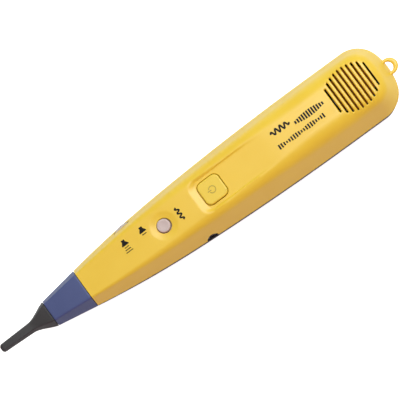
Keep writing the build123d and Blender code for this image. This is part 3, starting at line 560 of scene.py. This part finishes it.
class Nodes:
    """Short hand for building a node tree round a Principled shader."""

    def __init__(self, name, **sockets):
        self.mat = bpy.data.materials.new(name)
        self.mat.use_nodes = True
        self.tree = self.mat.node_tree
        self.shader = self.tree.nodes["Principled BSDF"]
        for key, value in sockets.items():
            self.shader.inputs[key.replace("_", " ")].default_value = value

    def add(self, kind, **settings):
        node = self.tree.nodes.new(kind)
        for key, value in settings.items():
            if key in node.inputs:
                node.inputs[key].default_value = value
            else:
                setattr(node, key, value)
        return node

    def link(self, out, into):
        self.tree.links.new(out, into)

    def coords(self):
        """Object coordinates, in metres."""
        return self.add("ShaderNodeTexCoord").outputs["Object"]

    def noise(self, scale, detail=2.0, rough=0.5, stretch=None):
        node = self.add("ShaderNodeTexNoise", Scale=scale, Detail=detail, Roughness=rough)
        source = self.coords()
        if stretch:
            mapping = self.add("ShaderNodeMapping")
            mapping.inputs["Scale"].default_value = stretch
            self.link(source, mapping.inputs["Vector"])
            source = mapping.outputs["Vector"]
        self.link(source, node.inputs["Vector"])
        return node.outputs["Fac"]

    def ramp(self, source, stops):
        node = self.add("ShaderNodeValToRGB")
        elements = node.color_ramp.elements
        while len(elements) < len(stops):
            elements.new(0.5)
        for element, (position, colour) in zip(elements, stops):
            element.position = position
            element.color = colour
        self.link(source, node.inputs["Fac"])
        return node.outputs["Color"]

    def span(self, source, low, high, from_low=0.0, from_high=1.0):
        node = self.add("ShaderNodeMapRange")
        node.inputs["From Min"].default_value = from_low
        node.inputs["From Max"].default_value = from_high
        node.inputs["To Min"].default_value = low
        node.inputs["To Max"].default_value = high
        self.link(source, node.inputs["Value"])
        return node.outputs["Result"]

    def bump(self, source, strength, distance, after=None):
        node = self.add("ShaderNodeBump", Strength=strength, Distance=distance)
        self.link(source, node.inputs["Height"])
        if after:
            self.link(after, node.inputs["Normal"])
        return node.outputs["Normal"]

    def colour(self, source):
        self.link(source, self.shader.inputs["Base Color"])

    def rough(self, source):
        self.link(source, self.shader.inputs["Roughness"])

    def normal(self, source):
        self.link(source, self.shader.inputs["Normal"])


def moulded(
    name, base, vary, low=0.36, high=0.5, grain=2600.0, strength=0.12, shine=0.5, shade_in_grooves=0.0
):
    """Spark-textured moulded plastic: fine grain, slow colour drift, uneven gloss, and painted
    shade darkening its grooves and crevices.
    """
    n = Nodes(name, Specular_IOR_Level=shine, IOR=1.47)
    slow = n.noise(38.0, 3.0, 0.55)
    colour = n.ramp(slow, [(0.3, base), (0.7, vary)])
    if shade_in_grooves:
        # painted shade: ambient occlusion darkens the colour where the surface is hemmed in, as in
        # grooves, gaps and the key's sunk sign
        shade = n.add("ShaderNodeAmbientOcclusion", Distance=shade_in_grooves, only_local=True, samples=8)
        n.link(colour, shade.inputs["Color"])
        colour = shade.outputs["Color"]
    n.colour(colour)
    patches = n.noise(150.0, 4.0, 0.6)
    n.rough(n.span(patches, low, high, 0.3, 0.7))
    fine = n.noise(grain, 2.0, 0.6)
    pits = n.noise(grain * 0.35, 3.0, 0.5)
    first = n.bump(pits, strength, GRAIN_DEPTH * 2.0)
    n.normal(n.bump(fine, strength * 1.6, GRAIN_DEPTH, first))
    return n.mat


def metal(name, base, vary, rough, stretch=None):
    """Bare or plated metal with fine drawn lines or cast mottling."""
    n = Nodes(name, Metallic=1.0)
    lines = n.noise(DRAWN_GRAIN, 3.0, 0.6, stretch)
    n.colour(n.ramp(lines, [(0.3, base), (0.7, vary)]))
    n.rough(n.span(lines, rough - 0.07, rough + 0.12, 0.3, 0.7))
    n.normal(n.bump(lines, 0.12, GRAIN_DEPTH))
    return n.mat


def ink(name, base):
    """Pad-printed ink: dark, slightly glossy, a little thin in places."""
    n = Nodes(name, Specular_IOR_Level=0.2)
    thin = n.noise(1500.0, 3.0, 0.6)
    paler = tuple(min(c * 1.6 + 0.004, 1) for c in base[:3]) + (1,)
    n.colour(n.ramp(thin, [(0.3, base), (0.9, paler)]))
    n.rough(n.span(thin, 0.4, 0.6))
    n.normal(n.bump(thin, 0.1, 0.00001))
    return n.mat


def porous(name, base, vary, grain, depth, rough=0.9):
    """Foam, paper or ceramic: matt, with small pores."""
    n = Nodes(name, Specular_IOR_Level=0.25)
    cells = n.add("ShaderNodeTexVoronoi", Scale=grain)
    n.link(n.coords(), cells.inputs["Vector"])
    pores = cells.outputs["Distance"]
    n.colour(n.ramp(pores, [(0.1, vary), (0.5, base)]))
    n.rough(n.span(n.noise(grain * 0.3), rough - 0.08, rough + 0.06))
    n.normal(n.bump(pores, 0.5, depth))
    return n.mat


def woven(name, base, vary, threads):
    """Cloth of crossing threads."""
    n = Nodes(name, Specular_IOR_Level=0.2, Sheen_Weight=0.2)
    crossing = n.add("ShaderNodeMath", operation="MULTIPLY")
    for i, direction in enumerate(("X", "Y")):
        thread = n.add("ShaderNodeTexWave", Scale=threads, bands_direction=direction)
        n.link(n.coords(), thread.inputs["Vector"])
        n.link(thread.outputs["Fac"], crossing.inputs[i])
    weave = crossing.outputs[0]
    n.colour(n.ramp(weave, [(0.1, base), (0.8, vary)]))
    n.rough(n.span(weave, 0.95, 0.8))
    n.normal(n.bump(weave, 0.6, 0.00008))
    return n.mat


def board(name, base, track):
    """Circuit board: solder mask over straight tracks that stand a little proud."""
    n = Nodes(name, Specular_IOR_Level=0.5)
    tracks = n.add("ShaderNodeTexBrick", Scale=120.0)
    tracks.inputs["Mortar Size"].default_value = 0.035
    tracks.inputs["Mortar Smooth"].default_value = 0.3
    n.link(n.coords(), tracks.inputs["Vector"])
    lines = tracks.outputs["Fac"]
    n.colour(n.ramp(lines, [(0.2, base), (0.8, track)]))
    n.rough(n.span(n.noise(300.0), 0.25, 0.4))
    n.normal(n.bump(lines, 0.3, 0.00004))
    return n.mat


def wound(name, base, vary, turns, stretch):
    """Wire wound side by side."""
    n = Nodes(name, Metallic=0.85)
    lines = n.noise(turns, 2.0, 0.5, stretch)
    n.colour(n.ramp(lines, [(0.35, base), (0.65, vary)]))
    n.rough(n.span(lines, 0.25, 0.45, 0.3, 0.7))
    n.normal(n.bump(lines, 0.5, 0.00008))
    return n.mat


INK = ink("print_ink", srgb(16, 12, 8))
SLOT_LOOKS = {
    "shell_yellow": moulded(
        "yellow_case", srgb(237, 194, 46), srgb(240, 199, 54), 0.3, 0.4, shine=0.8
    ),
    "shell_charcoal": moulded("charcoal_case", srgb(50, 49, 54), srgb(58, 57, 62), 0.4, 0.55),
    "door_charcoal": moulded(
        "charcoal_door", srgb(47, 46, 51), srgb(55, 54, 59), 0.42, 0.58, grain=2200.0
    ),
    "nose_blue": moulded("blue_nose", srgb(68, 79, 127), srgb(75, 86, 134), 0.34, 0.48),
    "tip_black": moulded(
        "black_tip", srgb(52, 50, 52), srgb(62, 60, 62), 0.42, 0.58, strength=0.2
    ),
    # the power key gets painted shade in its sunk sign and round its edges from ambient occlusion
    "power_key_yellow": moulded(
        "yellow_key", srgb(236, 200, 57), srgb(239, 205, 66), 0.3, 0.42, shine=0.7, shade_in_grooves=0.0012
    ),
    "filter_key_grey": moulded("grey_key", srgb(197, 177, 173), srgb(204, 184, 180), 0.5, 0.64),
    "wheel_grey": moulded("grey_wheel", srgb(186, 174, 172), srgb(196, 184, 181), 0.45, 0.6),
    "jack_black": moulded("black_jack", srgb(30, 30, 32), srgb(38, 38, 40), 0.25, 0.4),
    "brass": metal("brass_plate", srgb(206, 168, 92), srgb(222, 186, 110), 0.26, (1, 12, 12)),
    "screw_steel": metal("zinc_screw", srgb(160, 162, 166), srgb(188, 190, 194), 0.3),
    "spring_steel": metal(
        "spring_wire", srgb(178, 180, 184), srgb(204, 206, 208), 0.22, (10, 1, 1)
    ),
    "switch_black": moulded("black_switch", srgb(34, 34, 36), srgb(42, 42, 44)),
    "plunger_white": moulded("white_plunger", srgb(222, 220, 212), srgb(230, 228, 221)),
    "pot_metal": metal("pot_can", srgb(150, 150, 152), srgb(178, 178, 180), 0.34, (1, 10, 1)),
    "board_green": board("green_board", srgb(18, 84, 52), srgb(44, 122, 80)),
    "chip_black": moulded(
        "black_chip", srgb(30, 30, 32), srgb(40, 40, 42), 0.5, 0.65, grain=3800.0
    ),
    "part_tan": porous(
        "tan_ceramic", srgb(176, 142, 104), srgb(196, 166, 128), 2600.0, 0.00002, 0.6
    ),
    "can_black": moulded("black_can", srgb(32, 34, 40), srgb(42, 44, 52), 0.24, 0.36),
    "coil_copper": wound(
        "copper_coil", srgb(160, 82, 40), srgb(206, 120, 66), 1800.0, (1, 1, 14)
    ),
    "basket_steel": metal("pressed_steel", srgb(146, 148, 150), srgb(172, 174, 176), 0.33),
    "magnet_steel": metal(
        "magnet_plate", srgb(112, 114, 118), srgb(138, 140, 144), 0.38, (3, 3, 1)
    ),
    "cone_paper": porous("cone_fibre", srgb(44, 40, 36), srgb(62, 57, 50), 900.0, 0.00005),
    "gasket_foam": porous("gasket_pores", srgb(40, 40, 42), srgb(24, 24, 25), 1600.0, 0.0001),
    # painted bounce light: the black dust cloth is coloured the brown that yellow light, thrown
    # into the slots by their walls, gives it
    "cloth_black": woven("dust_cloth_bounce_brown", srgb(112, 66, 24), srgb(150, 96, 42), 900.0),
    "retainer_plastic": moulded("black_retainer", srgb(40, 40, 43), srgb(48, 48, 51)),
    "battery_jacket": metal(
        "printed_jacket", srgb(44, 46, 54), srgb(62, 64, 74), 0.36, (1, 1, 6)
    ),
    "snap_vinyl": moulded("black_vinyl", srgb(30, 30, 31), srgb(38, 38, 39), 0.5, 0.66),
    "lead_red": moulded("red_lead", srgb(170, 30, 26), srgb(186, 42, 36), 0.3, 0.45),
    "lead_black": moulded("black_lead", srgb(26, 26, 28), srgb(34, 34, 36), 0.3, 0.45),
    "foam_grey": porous("grey_foam", srgb(112, 112, 116), srgb(72, 72, 76), 1100.0, 0.00015),
}


def dress_nodes():
    """Gives every CAD node the look of its slot in the record."""
    for part in frame["record"]["subparts"]:
        materials = frame["nodes"][part["node"]].data.materials
        look = SLOT_LOOKS[part["material_slot"]]
        for i in range(len(materials)):
            materials[i] = look


# ---- front shell ----
STATION_ENDS = (NOSE_JOINT, 94.0, 114.0, 122.0, 146.0, 180.0, 206.0, CORNER_START)
STATION_STEPS = (1.4, 0.4, 0.8, 0.45, 0.9, 1.8, 0.9)    # closest round the keys


def case_stations():
    """Stations from the nose joint to the far end."""
    xs = []
    for start, stop, size in zip(STATION_ENDS, STATION_ENDS[1:], STATION_STEPS):
        xs += steps(start, stop, size)
    return outline_stations(xs) + end_stations()


def grille_cutters():
    """One cutter for each slot, shorter towards both sides of the round field."""
    cutters = []
    middle = (GRILLE_SLOTS - 1) / 2
    for i in range(GRILLE_SLOTS):
        dx = (i - middle) * GRILLE_PITCH
        half = GRILLE_HALF * math.sqrt(1 - (dx / GRILLE_REACH) ** 2)
        outline = stadium(half, SLOT_HALF_WIDTH)
        x = SPEAKER_X + dx
        cutters.append(
            hole_cutter(f"slot_{i}", x, 0.0, outline, face_height, SLOT_RIM, SLOT_CUTTER_RISE)
        )
    return cutters


def key_cutters():
    """The square hole of the power key and the round one of the small key."""
    square = rounded_square(POWER_HOLE, POWER_CORNER)
    x, y = FILTER_X + FILTER_HOLE_SHIFT[0], FILTER_HOLE_SHIFT[1]
    return [
        hole_cutter("key_hole", POWER_X, 0.0, square, front_surface, POWER_RIM),
        hole_cutter("dish_hole", x, y, circle(FILTER_HOLE_R), front_surface, FILTER_RIM),
    ]


def wheel_cutter():
    """Disc-shaped slot with room round the wheel."""
    (x0, y0, z0), (x1, y1, z1) = node_mm("volume_wheel")
    centre = ((x0 + x1) / 2, (y0 + y1) / 2)
    reach = (x1 - x0) / 2 + WHEEL_GAP[0]
    levels = [(reach, z0 - WHEEL_GAP[1]), (reach, z1 + WHEEL_GAP[1])]
    return raw_piece("wheel_slot", turned(levels, 96, centre))


def jack_cutter():
    """Stepped round hole for the jack, from outside the wall inwards."""
    x = (JACK_AT[0] - TIP_END) / MM
    return raw_piece("jack_hole_front", turned(JACK_HOLE, 64, (x, 0.0), "y"))


def squarish(value):
    """A sine or cosine pushed outwards, so that an ellipse gets fuller corners."""
    return math.copysign(abs(value) ** LOOP_ROUNDING, value)


def lanyard_arch():
    """Soft flat arch let into the end wall, widest at its far end."""
    arch_steps, ring_steps = 48, 24
    rows = []
    for i in range(arch_steps + 1):
        a = math.radians(-LOOP_SWEEP + 2 * LOOP_SWEEP * i / arch_steps)
        half_width_here = LOOP_HALF_WIDTH[0] + LOOP_HALF_WIDTH[1] * max(math.cos(a), 0.0) ** 1.5
        ring = []
        for j in range(ring_steps):
            t = 2 * math.pi * j / ring_steps
            out = half_width_here * squarish(math.cos(t))
            rise = LOOP_HALF_HEIGHT * squarish(math.sin(t))
            x = BODY_END + (LOOP_CENTRE[0] + out) * math.cos(a)
            ring.append((x, (LOOP_CENTRE[1] + out) * math.sin(a), LOOP_Z + rise))
        rows.append(ring)
    b = Builder()
    b.grid(rows, closed=True)
    for row in (rows[0], rows[-1]):
        middle = tuple(sum(p[k] for p in row) / len(row) for k in range(3))
        b.fan(row, middle)
    return b


def make_front_shell():
    """The yellow half with its holes, and the loop at its end as a piece of its own."""
    b = half_case(case_stations(), front_height, FRONT_DRAFT, front_edge_radius, front_surface)
    shell = finish_mesh("front_case", b, "shell_yellow")
    cut(shell, grille_cutters() + key_cutters() + [wheel_cutter(), jack_cutter()])
    tidy(shell)
    finish_mesh("lanyard_ring", lanyard_arch(), "shell_yellow")
    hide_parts("front_shell")


# ---- nose collar and tip ----
STUB_HOLE_R = 4.3
STUB_R = 4.2
COLLAR_WALL = 1.8
COLLAR_FRONT_WALL = 2.3
COLLAR_EDGE = (0.22, 0.08)  # its rounded rims: the outermost step in and the one after it
STUB_LENGTH = 8.0
STUB_CHAMFER = 0.3
TIP_GAP = 0.25
TIP_THIN = 2.33
TIP_GROWTH = 0.033
TIP_FLARE_START = 18.5
TIP_FLARE_RUN = 14.5
TIP_END_R = 1.7
TIP_FLATNESS = 0.8          # below 1 the section's depth shrinks less than its width
TIP_RIM = (0.25, 0.07)      # its rounded rim at the nose, as for the collar


def ring_of(loop, radius):
    """Points on a circle, one for each point of a loop and in the same direction."""
    return [(radius * y / math.hypot(y, z), radius * z / math.hypot(y, z)) for y, z in loop]


def make_nose_collar():
    """Hollow blue nose with rounded rims, and a hole for the stub of the tip."""
    start, end = TIP_JOINT, NOSE_JOINT - JOINT_GAP
    edge, chamfer = COLLAR_EDGE
    front = [(start, section(start, edge)), (start + 0.06, section(start, chamfer))]
    front += [(start + edge, section(start + edge))]
    middle = [(x, section(x)) for x in steps(start + 0.8, end - edge, 1.0)]
    rear = [(end - edge, section(end - edge)), (end - 0.06, section(end, chamfer))]
    rear += [(end, section(end, edge))]
    inner_xs = [end] + [end - 3.0 * i for i in range(1, 7)] + [start + COLLAR_FRONT_WALL]
    inner = [(x, section(x, COLLAR_WALL)) for x in inner_xs]
    hole = [(start + COLLAR_FRONT_WALL, ring_of(inner[-1][1], STUB_HOLE_R))]
    hole += [(start, ring_of(front[0][1], STUB_HOLE_R))]
    b = Builder()
    rows = rows_at(front + middle + rear + inner + hole)
    b.grid(rows + rows[:1], closed=True)
    collar = finish_mesh("nose_sleeve", b, "nose_blue")
    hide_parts("nose_collar")


def flare(x):
    """0 along the thin part of the tip, rising to 1 behind it."""
    return smooth((x - TIP_FLARE_START) / TIP_FLARE_RUN)


def flare_height():
    """What the flare adds so that the tip meets the nose at its full width."""
    end = TIP_JOINT - TIP_GAP
    return (half_width(end)[0] - TIP_THIN - TIP_GROWTH * end) / flare(end)


def tip_half_width(x):
    """Half width of the tip: almost even, then flaring towards the nose."""
    return TIP_THIN + TIP_GROWTH * x + flare_height() * flare(x)


def make_tip():
    """Black tip: round end, thin part, flare, and a stub that goes into the nose."""
    end = TIP_JOINT - TIP_GAP
    rim, chamfer = TIP_RIM
    loop = section(TIP_JOINT)
    full = max(y for y, z in loop)
    end_steps = 8
    stations = []
    for i in range(end_steps):
        a = math.pi / 2 * (i + 0.5) / end_steps
        x = TIP_END_R * (1 - math.cos(a))
        stations.append((x, tip_half_width(x) - TIP_END_R * (1 - math.sin(a))))
    stations += [(x, tip_half_width(x)) for x in steps(TIP_END_R, end - rim, 0.7)]
    full_end = tip_half_width(end)
    stations += [(end - rim, full_end), (end - chamfer, full_end - chamfer), (end, full_end - rim)]
    rows = []
    for x, half in stations:
        wide = half / full
        rows.append([(x, y * wide, z * wide**TIP_FLATNESS) for y, z in loop])
    stub_end = end + STUB_LENGTH
    stub, stub_tip = ring_of(loop, STUB_R), ring_of(loop, STUB_R - STUB_CHAMFER)
    rows += rows_at([(end, stub), (stub_end - STUB_CHAMFER, stub), (stub_end, stub_tip)])
    b = Builder()
    b.grid(rows, closed=True)
    b.fan(rows[0], (0.0, 0.0, 0.0))
    b.fan(rows[-1], (stub_end, 0.0, 0.0))
    tip = finish_mesh("sensing_tip", b, "tip_black", 50.0)
    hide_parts("probe_tip")


# ---- printed marks, laid on the front face ----
INK_RISE = 0.02
INK_SINK = 0.04
HORNS = ((82.6, 4.9, 3), (93.7, 4.9, 1))    # x, y and strokes: loud and soft
HORN_STROKE = 0.45
KEY_WAVE = (114.1, 0.9, 7.2, 0.85)          # x, swing, length across the face, line width
WAVE = (174.8, 186.0, 4.5, 3.0, 4)          # from x to x, y, height and turns
WAVE_LINE = 0.95
BAR_PITCH = 1.52
LONG_BARS = (12, 188.6, 2.2, 1.0)           # count, first x, y and line width
SHORT_BARS = (19, 174.8, -3.3, 0.9)


def inked(b, outline):
    """Closed flat patch from an outline, following the front face."""
    n = len(outline)
    top = [(x, y, front_surface(x, y) + INK_RISE) for x, y in outline]
    low = [(x, y, front_surface(x, y) - INK_SINK) for x, y in outline]
    base = len(b.verts)
    b.verts.extend(top + low)
    b.faces.append(tuple(base + i for i in range(n)))
    b.faces.append(tuple(base + n + i for i in reversed(range(n))))
    for i in range(n):
        k = (i + 1) % n
        b.faces.append((base + i, base + n + i, base + n + k, base + k))


def inked_line(b, points, width):
    """Closed flat strip of even width along a line of points."""
    left, right = [], []
    for i, (x, y) in enumerate(points):
        ax, ay = points[max(i - 1, 0)]
        cx, cy = points[min(i + 1, len(points) - 1)]
        length = math.hypot(cx - ax, cy - ay)
        nx, ny = -(cy - ay) / length * width / 2, (cx - ax) / length * width / 2
        left.append((x + nx, y + ny))
        right.append((x - nx, y - ny))
    n = len(points)
    base = len(b.verts)
    for rise in (INK_RISE, -INK_SINK):
        for row in (left, right):
            b.verts.extend([(x, y, front_surface(x, y) + rise) for x, y in row])
    for i in range(n - 1):
        for a, c, flip in (
            (0, n, False), (2 * n, 3 * n, True), (0, 2 * n, True), (n, 3 * n, False)
        ):
            quad = (base + a + i, base + c + i, base + c + i + 1, base + a + i + 1)
            b.faces.append(tuple(reversed(quad)) if flip else quad)
    for i in (0, n - 1):
        b.faces.append((base + i, base + n + i, base + 3 * n + i, base + 2 * n + i))


def horn_mark(b, x, y, lines):
    """Small horn that opens towards -y, with strokes of sound in front of it."""
    neck, mouth = 0.95, 2.0
    for top, bottom, top_half, bottom_half in (
        (1.8, 0.6, neck, neck), (0.7, -0.9, neck, mouth), (-0.8, -1.35, mouth, mouth)
    ):
        upper = [(x - top_half, y + top), (x + top_half, y + top)]
        lower = [(x + bottom_half, y + bottom), (x - bottom_half, y + bottom)]
        inked(b, upper + lower)
    for i in range(lines):
        reach = 1.3 + 0.4 * i
        sy = y - 2.4 - 1.3 * i
        inked_line(b, [(x - reach, sy), (x + reach, sy)], HORN_STROKE)


def wave(x0, x1, y, height, turns, count=60):
    """Points along a sine that swells in the middle."""
    points = []
    for i in range(count + 1):
        t = i / count
        swell = 0.55 + 0.45 * math.sin(math.pi * t)
        swing = height / 2 * swell * math.sin(2 * math.pi * turns * t)
        points.append((x0 + (x1 - x0) * t, y + swing))
    return points


def bar(x, y, half):
    """Points across the face, close enough together to follow its crown."""
    return [(x, y + half * (i / 4 - 1)) for i in range(9)]


def make_marks():
    """Horn signs by the wheel, a wave beside the small key, a wave and bars near the grille."""
    b = Builder()
    for x, y, strokes in HORNS:
        horn_mark(b, x, y, strokes)
    x, swing, length, width = KEY_WAVE
    points = [
        (x + swing * math.sin(2 * math.pi * i / 16), -length / 2 + length * i / 48)
        for i in range(49)
    ]
    inked_line(b, points, width)
    inked_line(b, wave(*WAVE), WAVE_LINE)
    count, start, y, width = LONG_BARS
    for i in range(count):
        half = 0.7 + 1.25 * math.sin(math.pi * (i + 0.5) / count)
        inked_line(b, bar(start + BAR_PITCH * i, y, half), width)
    count, start, y, width = SHORT_BARS
    for i in range(count):
        half = 0.55 + 0.8 * abs(math.cos(0.5 * i))
        inked_line(b, bar(start + BAR_PITCH * i, y, half), width)
    finish_mesh("printed_marks", b, "shell_yellow", look=INK)


# ---- soft pieces ----
CLOTH_ROWS = 40
CLOTH_THICK = 0.25
CLOTH_SLACK = 0.03
CLOTH_RIPPLE = 2.6          # radians for each millimetre from its middle
CLOTH_DROP = 0.04           # below the top of the CAD cloth
CLOTH_TRIM = 0.06           # how much thinner it is than the CAD cloth
PAD_STEPS = 20
PAD_SOFTNESS = 0.45         # the rounding of its edges, as a share of its least half size


def make_cloth():
    """Dust cloth glued behind the grille: a thin disc, a little slack between the ribs."""
    (x0, y0, z0), (x1, y1, z1) = node_mm("grille_cloth")
    cx, cy, radius = (x0 + x1) / 2, (y0 + y1) / 2, (x1 - x0) / 2
    thick = min(CLOTH_THICK, z1 - z0)
    levels = []
    for i in range(CLOTH_ROWS + 1):
        r = radius * (1 - i / (CLOTH_ROWS + 1))
        levels.append((r, CLOTH_SLACK * math.cos(CLOTH_RIPPLE * r) * (1 - (r / radius) ** 2)))
    top = [(r, z1 + dz - CLOTH_DROP) for r, dz in levels]
    low = [(r, z - thick + CLOTH_TRIM) for r, z in top]
    b = turned(low[::-1] + top, 96, (cx, cy))
    cloth = finish_mesh("dust_cloth", b, "cloth_black")
    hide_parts("grille_cloth")


def pad_point(p, middle, half):
    """A point of the unit cube, moved to the pad's size with its edges rounded."""
    soft = min(half) * PAD_SOFTNESS
    core = [c * (h - soft) for c, h in zip(p, half)]
    reach = [c * h - o for c, h, o in zip(p, half, core)]
    length = math.hypot(*reach)
    scale = soft / length if length > soft else 1.0
    return tuple(m + o + r * scale for m, o, r in zip(middle, core, reach))


def make_foam_pad():
    """Foam pad against the battery: a block with softly rounded edges."""
    lows, highs = node_mm("battery_foam_pad")
    middle = [(lo + hi) / 2 for lo, hi in zip(lows, highs)]
    half = [(hi - lo) / 2 for lo, hi in zip(lows, highs)]
    spread = [math.sin(math.pi / 2 * (2 * i / PAD_STEPS - 1)) for i in range(PAD_STEPS + 1)]
    b = Builder()
    for axis in range(3):
        u, v = [k for k in range(3) if k != axis]
        for side in (1, -1):
            rows = []
            for su in spread:
                row = []
                for sv in spread:
                    p = [0.0, 0.0, 0.0]
                    p[axis], p[u], p[v] = side, su, sv
                    row.append(pad_point(p, middle, half))
                rows.append(row)
            b.grid(rows)
    pad = finish_mesh("foam_pad", b, "foam_grey", 60.0)
    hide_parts("battery_foam_pad")


make_front_shell()
make_nose_collar()
make_tip()
make_marks()
dress_nodes()
make_cloth()
make_foam_pad()

# ---- camera: almost straight down on the face ----
LENS = 400.0
SENSOR = 36.0
FRAME_WIDTH = 0.2035                # metres across the picture, at the part
IMAGE_SHIFT = (-0.5, -2.75)         # millimetres right and up
CAMERA_TILT = math.radians(11.0)
CAMERA_ROLL = math.radians(36.1)
CAMERA_CLIP = (0.01, 20.0)


def make_camera():
    data = bpy.data.cameras.new("camera")
    camera = bpy.data.objects.new("camera", data)
    bpy.context.scene.collection.objects.link(camera)
    data.lens = LENS
    data.sensor_width = SENSOR
    data.clip_start, data.clip_end = CAMERA_CLIP
    back = Vector((0.0, -math.sin(CAMERA_TILT), math.cos(CAMERA_TILT)))
    along = Vector((1.0, 0.0, 0.0))
    across = back.cross(along)
    right = along * math.cos(CAMERA_ROLL) - across * math.sin(CAMERA_ROLL)
    up = along * math.sin(CAMERA_ROLL) + across * math.cos(CAMERA_ROLL)
    lo, hi = cad_box
    target = Vector(((lo.x + hi.x) / 2, 0.0, PARTING))
    target -= right * IMAGE_SHIFT[0] * MM + up * IMAGE_SHIFT[1] * MM
    camera.location = target + back * (FRAME_WIDTH * LENS / SENSOR)
    camera.rotation_mode = "QUATERNION"
    camera.rotation_quaternion = Matrix((right, up, back)).transposed().to_quaternion()
    bpy.context.scene.camera = camera
    return right, up, target


IMAGE_RIGHT, IMAGE_UP, TARGET = make_camera()


# ---- light and floor ----
UPWARDS = Vector((0, 0, 1))
# name: (direction, distance, size, power, colour)
LIGHTS = {
    "key": (IMAGE_UP * 0.5 + IMAGE_RIGHT * 0.2 + UPWARDS, 1.2, 0.8, 7.9, (1, 1, 1)),
    "overhead": (IMAGE_UP * 0.25 - IMAGE_RIGHT * 0.1 + UPWARDS, 1.3, 1.2, 1.4, (1, 1, 1)),
    "rim": (
        IMAGE_UP + IMAGE_RIGHT * 0.75 + UPWARDS * 0.95, 1.2, 0.36, 1.5, (0.66, 0.95, 1.0)
    ),
}
SKY_SIDE = (IMAGE_UP * 0.9 - IMAGE_RIGHT * 0.35).normalized()
SKY_RAMP = ((0.2, (0.5, 0.28, 0.32, 1.0)), (0.75, (0.43, 0.52, 0.46, 1.0)))
FLOOR_GAP = 0.0003          # metres, so that the floor doesn't hide the underside
FLOOR_HALF = 3.0
FLOOR_GLOW = (0.9, 0.9, 0.9, 1)
FLOOR_COLOURS = ((0.0, (0.93, 0.93, 0.93, 1)), (1.0, (0.96, 0.96, 0.96, 1)))


def area_light(name, direction, distance, size, power, colour):
    data = bpy.data.lights.new(name, "AREA")
    data.shape = "DISK"
    data.size = size
    data.energy = power
    data.color = colour
    light = bpy.data.objects.new(name, data)
    bpy.context.scene.collection.objects.link(light)
    way = direction.normalized()
    light.location = TARGET + way * distance
    light.rotation_mode = "QUATERNION"
    light.rotation_quaternion = way.to_track_quat("Z", "Y")


def make_world():
    """Soft light all round: rosy from the picture's lower right, greenish from its upper left."""
    world = bpy.data.worlds.new("world")
    bpy.context.scene.world = world
    world.use_nodes = True
    tree = world.node_tree
    background = tree.nodes["Background"]
    background.inputs["Strength"].default_value = 1.0
    coords = tree.nodes.new("ShaderNodeTexCoord")
    dot = tree.nodes.new("ShaderNodeVectorMath")
    dot.operation = "DOT_PRODUCT"
    dot.inputs[1].default_value = SKY_SIDE
    span = tree.nodes.new("ShaderNodeMapRange")
    span.inputs["From Min"].default_value = -1.0
    ramp = tree.nodes.new("ShaderNodeValToRGB")
    for element, (position, colour) in zip(ramp.color_ramp.elements, SKY_RAMP):
        element.position, element.color = position, colour
    tree.links.new(coords.outputs["Generated"], dot.inputs[0])
    tree.links.new(dot.outputs["Value"], span.inputs["Value"])
    tree.links.new(span.outputs["Result"], ramp.inputs["Fac"])
    tree.links.new(ramp.outputs["Color"], background.inputs["Color"])


def make_floor():
    """Pale floor that glows only for the camera and is not seen from below."""
    bm = bmesh.new()
    bmesh.ops.create_grid(bm, x_segments=8, y_segments=8, size=FLOOR_HALF)
    bmesh.ops.translate(bm, verts=bm.verts, vec=(0.0, 0.0, -FLOOR_GAP))
    mesh = bpy.data.meshes.new("floor")
    bm.to_mesh(mesh)
    bm.free()
    floor = bpy.data.objects.new("floor", mesh)
    bpy.context.scene.collection.objects.link(floor)
    n = Nodes("floor", Roughness=0.9, Emission_Color=FLOOR_GLOW)
    seen = n.add("ShaderNodeLightPath").outputs["Is Camera Ray"]
    n.link(seen, n.shader.inputs["Emission Strength"])
    below = n.add("ShaderNodeNewGeometry").outputs["Backfacing"]
    n.link(n.span(below, 1.0, 0.0), n.shader.inputs["Alpha"])
    n.colour(n.ramp(n.noise(3.0), FLOOR_COLOURS))
    mesh.materials.append(n.mat)


def make_stage():
    make_world()
    for name, settings in LIGHTS.items():
        area_light(name, *settings)
    make_floor()
    bpy.context.scene.view_settings.view_transform = "Standard"


make_stage()
